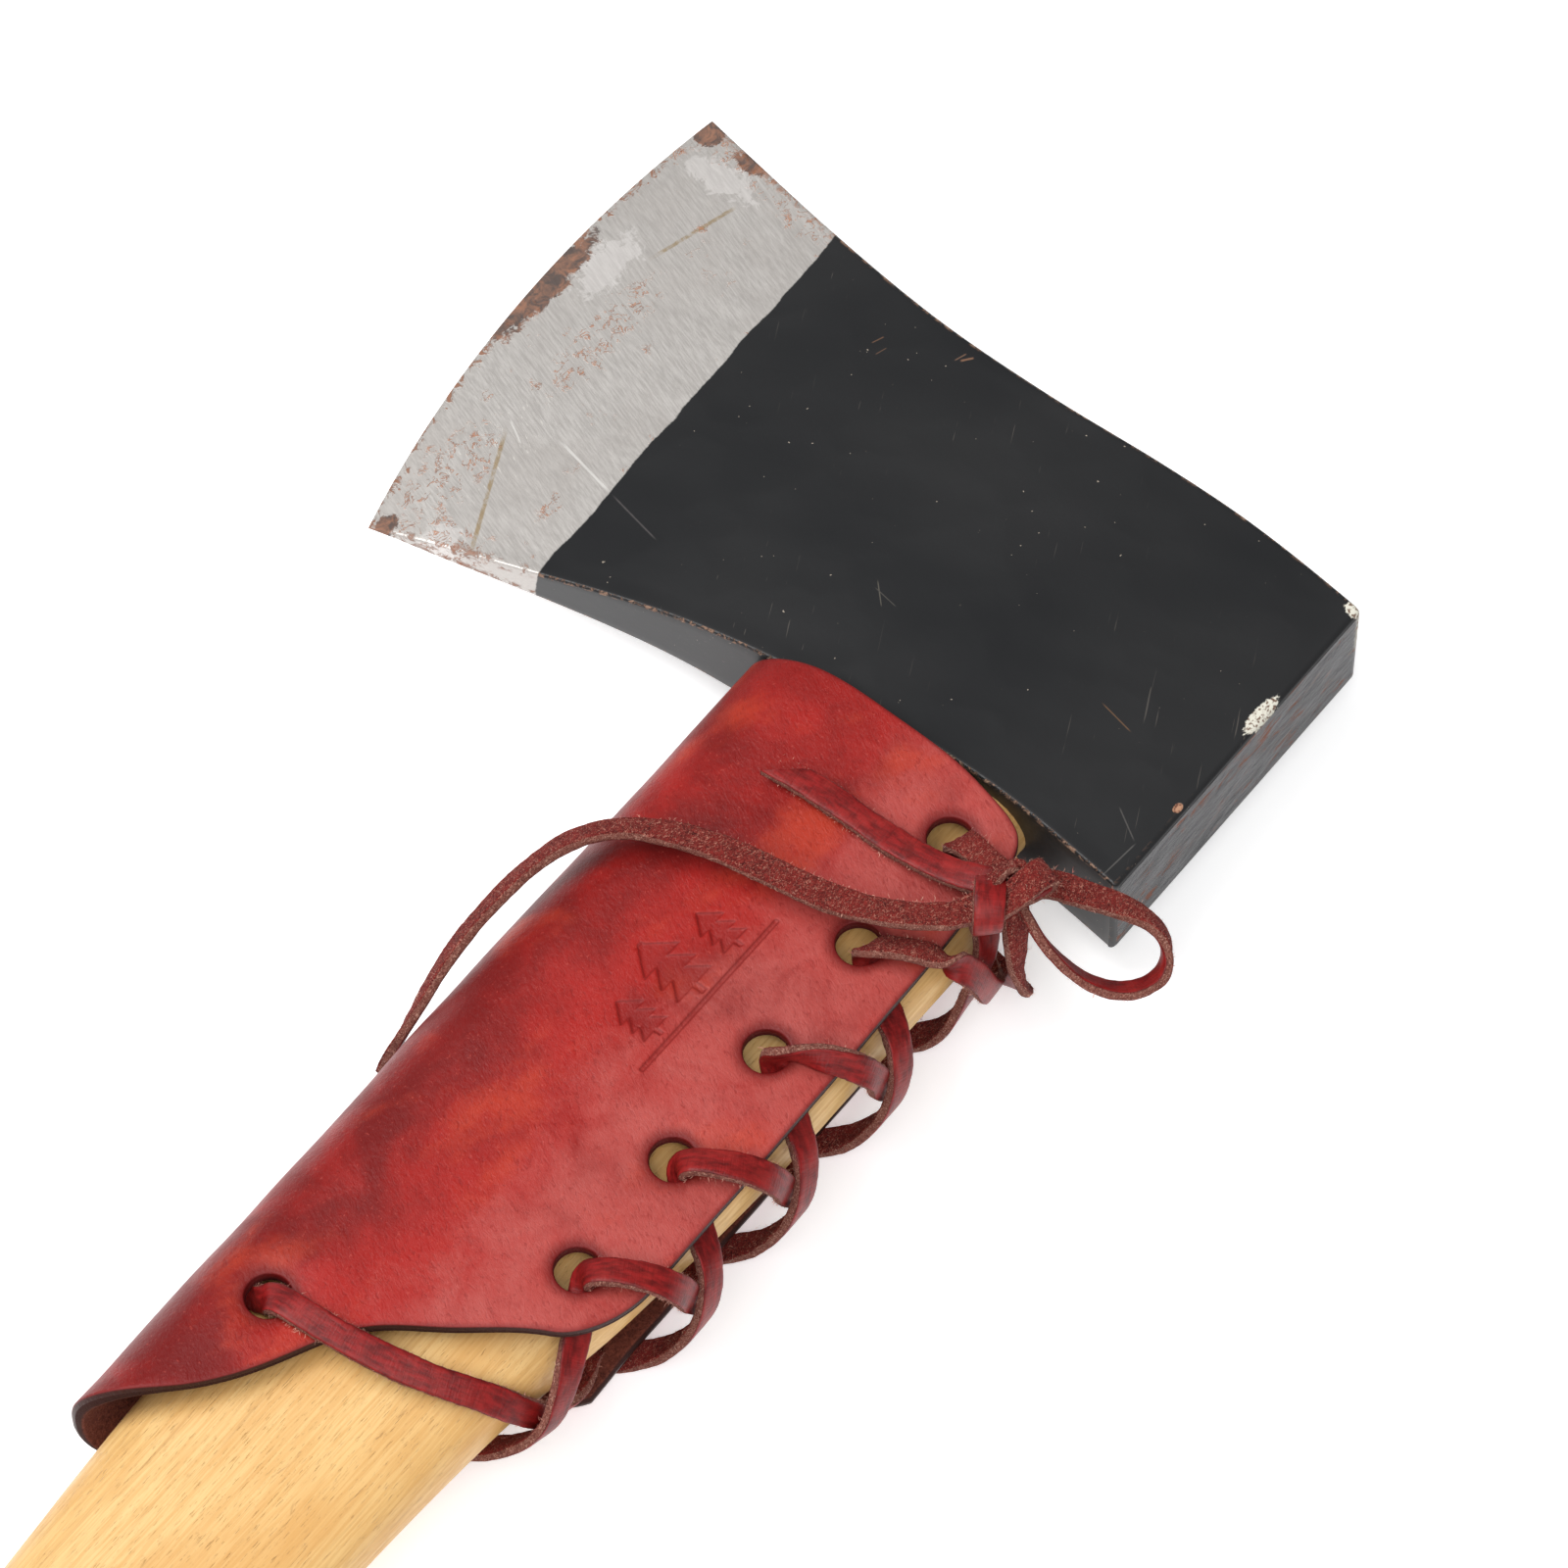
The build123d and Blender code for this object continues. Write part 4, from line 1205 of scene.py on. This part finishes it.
def head_material():
    """Black satin paint, worn at the edges, over forged steel with a bare, rust-specked bit."""
    look = Look("head_steel")
    edge_gap, bit_gap, bare, on_poll, upper = (
        look.number(key) for key in ("edge_gap", "bit_gap", "bare", "on_poll", "upper")
    )
    wobble = look.noise(9.0, 2.0, 0.4)
    crisp = look.noise(0.7, 3.0, 0.6)
    line = look.times_plus(wobble, 2.0, look.times_plus(crisp, 0.35, look.minus(bare, 1.175)))
    bare_share = look.span(line, -0.14, 0.14)
    # Ground steel
    brushed = look.noise(0.35, 4.0, 0.7, stretch=(1.0, 22.0, 1.0), turn=(0, 0, 0.35))
    cloud = look.noise(12.0, 4.0, 0.6, twist=0.5)
    steel = look.blend(look.span(brushed, 0.3, 0.7), (0.415, 0.392, 0.370), (0.505, 0.482, 0.458))
    steel = look.blend(look.span(cloud, 0.35, 0.7, 0.0, 0.5), steel, (0.43, 0.40, 0.375))
    white = look.span(spot(look, (-13.0, -98.5), (8.0, 4.2), 2.6, 2.6), 0.0, 0.3)
    white = look.most(white, look.span(spot(look, (-38.5, -94.0), (4.0, 8.0), 2.6, 2.6), 0.0, 0.3))
    white = look.most(white, look.span(spot(look, (46.0, -85.5), (3.2, 4.0), 2.2, 1.6), 0.0, 0.3))
    steel = look.blend(look.times(white, 0.5), steel, (0.68, 0.65, 0.63))
    scuffs = look.noise(0.42, 3.0, 0.6, stretch=(1.0, 7.0, 1.0), turn=(0, 0, 0.5), move=(2, 2, 2))
    scuff_zone = look.span(spot(look, (26.0, -90.0), (15.0, 9.0), 0.8, 6.0), 0.0, 0.5)
    scuff_share = look.times(look.span(scuffs, 0.60, 0.68), look.times_plus(scuff_zone, 0.8, 0.15))
    steel = look.blend(look.times(scuff_share, 0.6), steel, (0.72, 0.69, 0.64))
    # Rust on the bare steel: worm-like specks in patches, and heavy brown rust along the edge
    worms = look.noise(2.6, 4.0, 0.62, twist=1.5)
    worm = look.span(look.size(look.minus(worms, 0.5)), 0.010, 0.034, 1.0, 0.0)
    worm = look.times(worm, look.span(look.noise(1.9, 2.0, 0.5, move=(8, 8, 2)), 0.45, 0.52))
    zones = look.noise(7.0, 3.0, 0.6, move=(4, 1, 9))
    zone = look.span(zones, 0.60, 0.68)
    for centre, size in (
        ((-1.0, -90.0), (16.0, 4.5)),
        ((-43.0, -88.0), (4.0, 14.0)),
        ((-40.0, -76.0), (4.0, 7.0)),
        ((31.0, -75.5), (3.5, 2.0)),
        ((35.0, -93.0), (13.0, 5.5)),
        ((47.0, -84.0), (6.0, 8.0)),
    ):
        zone = look.most(zone, look.span(spot(look, centre, size, 1.8, 3.0), 0.0, 0.35))
    worm = look.times(worm, zone)
    heavy = look.noise(2.4, 5.0, 0.7, twist=0.8, move=(6, 6, 1))
    along_edge = look.span(bit_gap, 0.0, 5.0, 0.42, 0.0)
    strip = look.span(spot(look, (-3.0, -104.6), (15.0, 3.6), 1.6, 2.0), 0.0, 0.2)
    strip = look.most(strip, look.span(spot(look, (-44.6, -101.6), (3.2, 2.8), 1.4, 1.4), 0.0, 0.2))
    strip = look.most(strip, look.span(spot(look, (-43.7, -91.9), (2.2, 3.4), 2.2, 1.0), 0.0, 0.2))
    strip = look.most(strip, look.span(spot(look, (49.6, -95.3), (2.6, 2.0), 1.4, 1.0), 0.0, 0.2))
    strip = look.most(strip, look.span(look.plus(heavy, along_edge), 0.90, 0.99))
    facet = look.span(look.times_plus(crisp, 1.4, look.minus(edge_gap, 1.0)), 0.5, 1.6, 1.0, 0.0)
    strip = look.most(strip, look.times(look.times(facet, look.span(heavy, 0.48, 0.58)), 0.85))
    rust = look.blend(look.span(heavy, 0.36, 0.66), (0.042, 0.021, 0.016), (0.23, 0.092, 0.045))
    rust_share = look.most(look.times(worm, 0.85), look.times(strip, 0.9))
    for start, end in (((-17.5, -93.6), (-35.5, -88.2)), ((22.0, -91.6), (46.5, -79.6))):
        stain = look.times(scratch(look, start, end, 0.36), look.span(heavy, 0.36, 0.6, 0.2, 1.0))
        steel = look.blend(look.times(stain, 0.8), steel, (0.30, 0.21, 0.10))
    steel = look.blend(scratch(look, (19.4, -82.8), (22.9, -68.6), 0.22), steel, (0.64, 0.62, 0.59))
    steel = look.blend(scratch(look, (21.0, -92.0), (24.0, -87.0), 0.15), steel, (0.62, 0.60, 0.57))
    worm_rust = look.blend(look.span(crisp, 0.35, 0.6), (0.20, 0.072, 0.034), (0.37, 0.150, 0.070))
    metal = look.blend(look.times(worm, 0.82), steel, worm_rust)
    metal = look.blend(look.times(strip, 0.9), metal, rust)
    # Paint
    drift = look.noise(46.0, 2.0, 0.45)
    paint = look.blend(look.span(drift, 0.35, 0.7), (0.0102, 0.0107, 0.0118), (0.0128, 0.0130, 0.0138))
    hair = look.noise(0.5, 2.0, 0.5, stretch=(1.0, 30.0, 1.0), turn=(0, 0, 1.1), move=(1, 5, 3))
    hair_share = look.times(look.span(hair, 0.70, 0.74), look.span(drift, 0.5, 0.62, 0.0, 0.28))
    paint = look.blend(hair_share, paint, (0.16, 0.14, 0.12))
    specks = look.noise(0.9, 2.0, 0.5, move=(8, 3, 3))
    speck_share = look.span(specks, 0.765, 0.785, 0.0, 0.75)
    paint = look.blend(speck_share, paint, (0.38, 0.32, 0.26))
    for start, end, width, colour in (
        ((7.2, 21.9), (8.7, 29.4), 0.11, (0.10, 0.055, 0.03)),
        ((11.0, -21.5), (15.0, -17.5), 0.09, (0.075, 0.068, 0.056)),
        ((12.5, -21.0), (13.5, -15.5), 0.08, (0.055, 0.050, 0.044)),
        ((-31.5, -37.5), (-33.4, -35.8), 0.20, (0.16, 0.085, 0.052)),
        ((-31.0, -38.3), (-33.4, -37.4), 0.13, (0.12, 0.068, 0.045)),
        ((33.0, 41.7), (24.4, 42.4), 0.12, (0.066, 0.063, 0.060)),
        ((24.6, 42.2), (20.8, 36.0), 0.11, (0.058, 0.055, 0.052)),
        ((-26.0, -52.0), (-28.4, -51.0), 0.12, (0.10, 0.054, 0.034)),
        ((-24.5, -50.0), (-26.8, -49.2), 0.10, (0.085, 0.048, 0.032)),
        ((22.9, -68.6), (26.0, -56.0), 0.14, (0.055, 0.05, 0.05)),
    ):
        paint = look.blend(scratch(look, start, end, width), paint, colour)
    # Paint worn through: along the edges, in named chips, and in streaks on the poll face
    wear = look.noise(1.5, 6.0, 0.75, twist=0.6, move=(2, 7, 7))
    off_rim = look.span(bare, -113.6, -111.0)
    near = look.times(look.span(edge_gap, 0.05, 1.1, 0.19, 0.0), off_rim)
    worn = look.span(look.plus(wear, near), 0.80, 0.86)
    along_top = look.span(look.number("share"), 0.45, 0.55, 1.0, 0.0)
    clumps = look.span(look.noise(6.0, 3.0, 0.6, move=(5, 5, 1)), 0.44, 0.54)
    top_line = look.times(look.span(edge_gap, 0.15, 0.85, 1.0, 0.0), look.span(wear, 0.46, 0.54))
    top_line = look.times(look.times(top_line, clumps), look.times(along_top, off_rim))
    worn_line = look.times(
        look.span(edge_gap, 0.0, 0.30, 1.0, 0.0), look.times(off_rim, look.span(wear, 0.48, 0.57))
    )
    worn = look.most(worn, look.times(worn_line, 0.8))
    worn = look.most(worn, look.times(top_line, 0.85))
    worn = look.times(worn, look.minus(1.0, look.times(on_poll, 0.6)))
    chip = look.span(spot(look, (-7.0, 43.9), (4.6, 1.4), 1.1, 0.9), 0.0, 0.12)
    chip = look.most(chip, look.span(spot(look, (-32.4, 43.8), (1.5, 1.6), 1.3, 0.9), 0.0, 0.12))
    rusty_chip = look.span(spot(look, (15.2, 43.8), (1.1, 0.8), 0.7, 1.3), 0.0, 0.12)
    on_top = look.times(upper, look.most(look.minus(1.0, on_poll), look.span(edge_gap, 0.6, 1.4, 1.0, 0.0)))
    chip, rusty_chip = look.times(chip, on_top), look.times(rusty_chip, on_top)
    streaks = look.noise(1.6, 5.0, 0.7, stretch=(4.0, 1.0, 1.0), twist=0.6, move=(1, 1, 6))
    poll_zone = look.span(look.noise(9.0, 3.0, 0.6, stretch=(1.6, 1.0, 1.0), move=(2, 0, 4)), 0.43, 0.54)
    poll_rust = look.times(look.span(streaks, 0.54, 0.60), look.times(poll_zone, on_poll))
    scrape = look.times(
        look.span(look.noise(0.9, 5.0, 0.75, stretch=(8.0, 1.0, 1.0), move=(6, 1, 2)), 0.40, 0.62), on_poll
    )
    # The poll face is painted a lighter grey than the cheeks: scuffed paint, and partly a painted reflection
    # of the lights it faces.
    paint = look.blend(on_poll, paint, (0.022, 0.022, 0.024))
    paint = look.blend(scrape, paint, (0.082, 0.080, 0.084))
    worn_colour = look.blend(look.span(wear, 0.45, 0.75), (0.16, 0.068, 0.034), (0.36, 0.25, 0.18))
    paint = look.blend(worn, paint, worn_colour)
    paint = look.blend(
        chip, paint, look.blend(look.span(crisp, 0.38, 0.52), (0.13, 0.075, 0.05), (0.60, 0.58, 0.50))
    )
    paint = look.blend(
        rusty_chip,
        paint,
        look.blend(look.span(crisp, 0.40, 0.56), (0.12, 0.045, 0.026), (0.38, 0.20, 0.12)),
    )
    paint = look.blend(look.times(poll_rust, 0.75), paint, (0.20, 0.062, 0.028))
    exposed = look.most(look.most(worn, poll_rust), look.most(chip, rusty_chip))
    colour = look.blend(bare_share, paint, metal)
    metallic = look.times(bare_share, look.span(rust_share, 0.1, 0.7, 0.45, 0.0))
    steel_rough = look.span(brushed, 0.3, 0.7, 0.34, 0.46)
    steel_rough = look.most(steel_rough, look.times(rust_share, 0.9))
    paint_rough = look.most(look.span(drift, 0.3, 0.7, 0.30, 0.38), look.times(exposed, 0.75))
    paint_rough = look.most(paint_rough, look.times(on_poll, 0.42))
    step = look.add("ShaderNodeMix", data_type="FLOAT")
    for socket, value in (
        (step.inputs[0], bare_share), (step.inputs[2], paint_rough), (step.inputs[3], steel_rough)
    ):
        look.tree.links.new(value, socket)
    grinding = look.times(brushed, bare_share)
    paint_height = look.minus(1.0, look.most(bare_share, exposed))
    normal = look.bump(grinding, 0.015)
    normal = look.bump(paint_height, 0.06, normal)
    normal = look.bump(look.times(look.times(rust_share, bare_share), heavy), 0.10, normal)
    forged = look.times(look.noise(1.4, 5.0, 0.7, stretch=(1.6, 1.0, 1.0), move=(0, 3, 0)), on_poll)
    normal = look.bump(forged, 0.55, normal)
    normal = look.bump(look.noise(7.0, 4.0, 0.55), 0.05, normal)
    return look.surface(colour, step.outputs[0], normal, Metallic=metallic, Specular_IOR_Level=0.36)


head = make_mesh(
    "head_forging",
    points,
    loft_faces(len(rows), size),
    values,
    [head_material()],
    ["axe_head"],
    "painted_steel",
)
cutter_ring = tenon_ring(0.0)
cutter_ring[:, 1:] = EYE_OFFSET * np.array([1, 0]) + (cutter_ring[:, 1:] - [EYE_OFFSET, 0]) * [1.002, 1.007]
cutter_points = np.concatenate([cutter_ring + [x, 0, 0] for x in (-60.0, 60.0)])
cutter = make_mesh("eye_cutter", cutter_points, loft_faces(2, HAFT_RING))
opened = head.modifiers.new("eye", "BOOLEAN")
opened.operation = "DIFFERENCE"
opened.object = cutter
opened.solver = "EXACT"
bpy.context.view_layer.update()
pierced = bpy.data.meshes.new_from_object(head.evaluated_get(bpy.context.evaluated_depsgraph_get()))
head.modifiers.clear()
head.data = pierced
bpy.data.objects.remove(cutter)
head.data.set_sharp_from_angle(angle=math.radians(38))


def steel_material():
    look = Look("wedge_steel")
    rust = look.noise(1.5, 5.0, 0.7, twist=0.6)
    colour = look.blend(look.span(rust, 0.4, 0.6), (0.36, 0.34, 0.32), (0.16, 0.07, 0.035))
    return look.surface(colour, look.span(rust, 0.4, 0.6, 0.4, 0.8), look.bump(rust, 0.1), Metallic=0.6)


steel_wedge = frame["nodes"]["steel_eye_wedges"]
steel_wedge.data.materials.clear()
steel_wedge.data.materials.append(steel_material())

# ---------------------------------------------------------------- floor and light
FLOOR_REACH = 6.0
FLOOR_COLOUR = (0.88, 0.88, 0.885, 1)
FLOOR_GLOW = 0.4
STUDIO_LIGHT = 0.27
KEY_WATTS = 37
FILL_WATTS = 27
mesh = bpy.data.meshes.new("floor")
corners = [
    (-FLOOR_REACH, -FLOOR_REACH, 0),
    (FLOOR_REACH, -FLOOR_REACH, 0),
    (FLOOR_REACH, FLOOR_REACH, 0),
    (-FLOOR_REACH, FLOOR_REACH, 0),
]
mesh.from_pydata(corners, [], [(0, 1, 2, 3)])
floor = bpy.data.objects.new("floor", mesh)
bpy.context.scene.collection.objects.link(floor)
look = Look("floor_white")
mesh.materials.append(
    look.surface(FLOOR_COLOUR, 0.8, Emission_Color=(1, 1, 1, 1), Emission_Strength=FLOOR_GLOW)
)

world = bpy.data.worlds.new("studio")
bpy.context.scene.world = world
world.use_nodes = True
world.node_tree.nodes["Background"].inputs["Color"].default_value = (1.0, 1.0, 1.0, 1.0)
world.node_tree.nodes["Background"].inputs["Strength"].default_value = STUDIO_LIGHT


def area_light(name, place, size, power, aim=(0.0, 0.0, 0.02)):
    """A large square soft light."""
    light = bpy.data.lights.new(name, "AREA")
    light.shape = "SQUARE"
    light.size = size
    light.energy = power
    lamp = bpy.data.objects.new(name, light)
    lamp.location = place
    lamp.rotation_mode = "QUATERNION"
    lamp.rotation_quaternion = (Vector(aim) - Vector(place)).to_track_quat("-Z", "Y")
    bpy.context.scene.collection.objects.link(lamp)


area_light("key", (0.42, -0.85, 1.65), 1.3, KEY_WATTS)
area_light("fill", (0.8, 0.75, 1.55), 1.5, FILL_WATTS)
bpy.context.scene.view_settings.view_transform = "Standard"
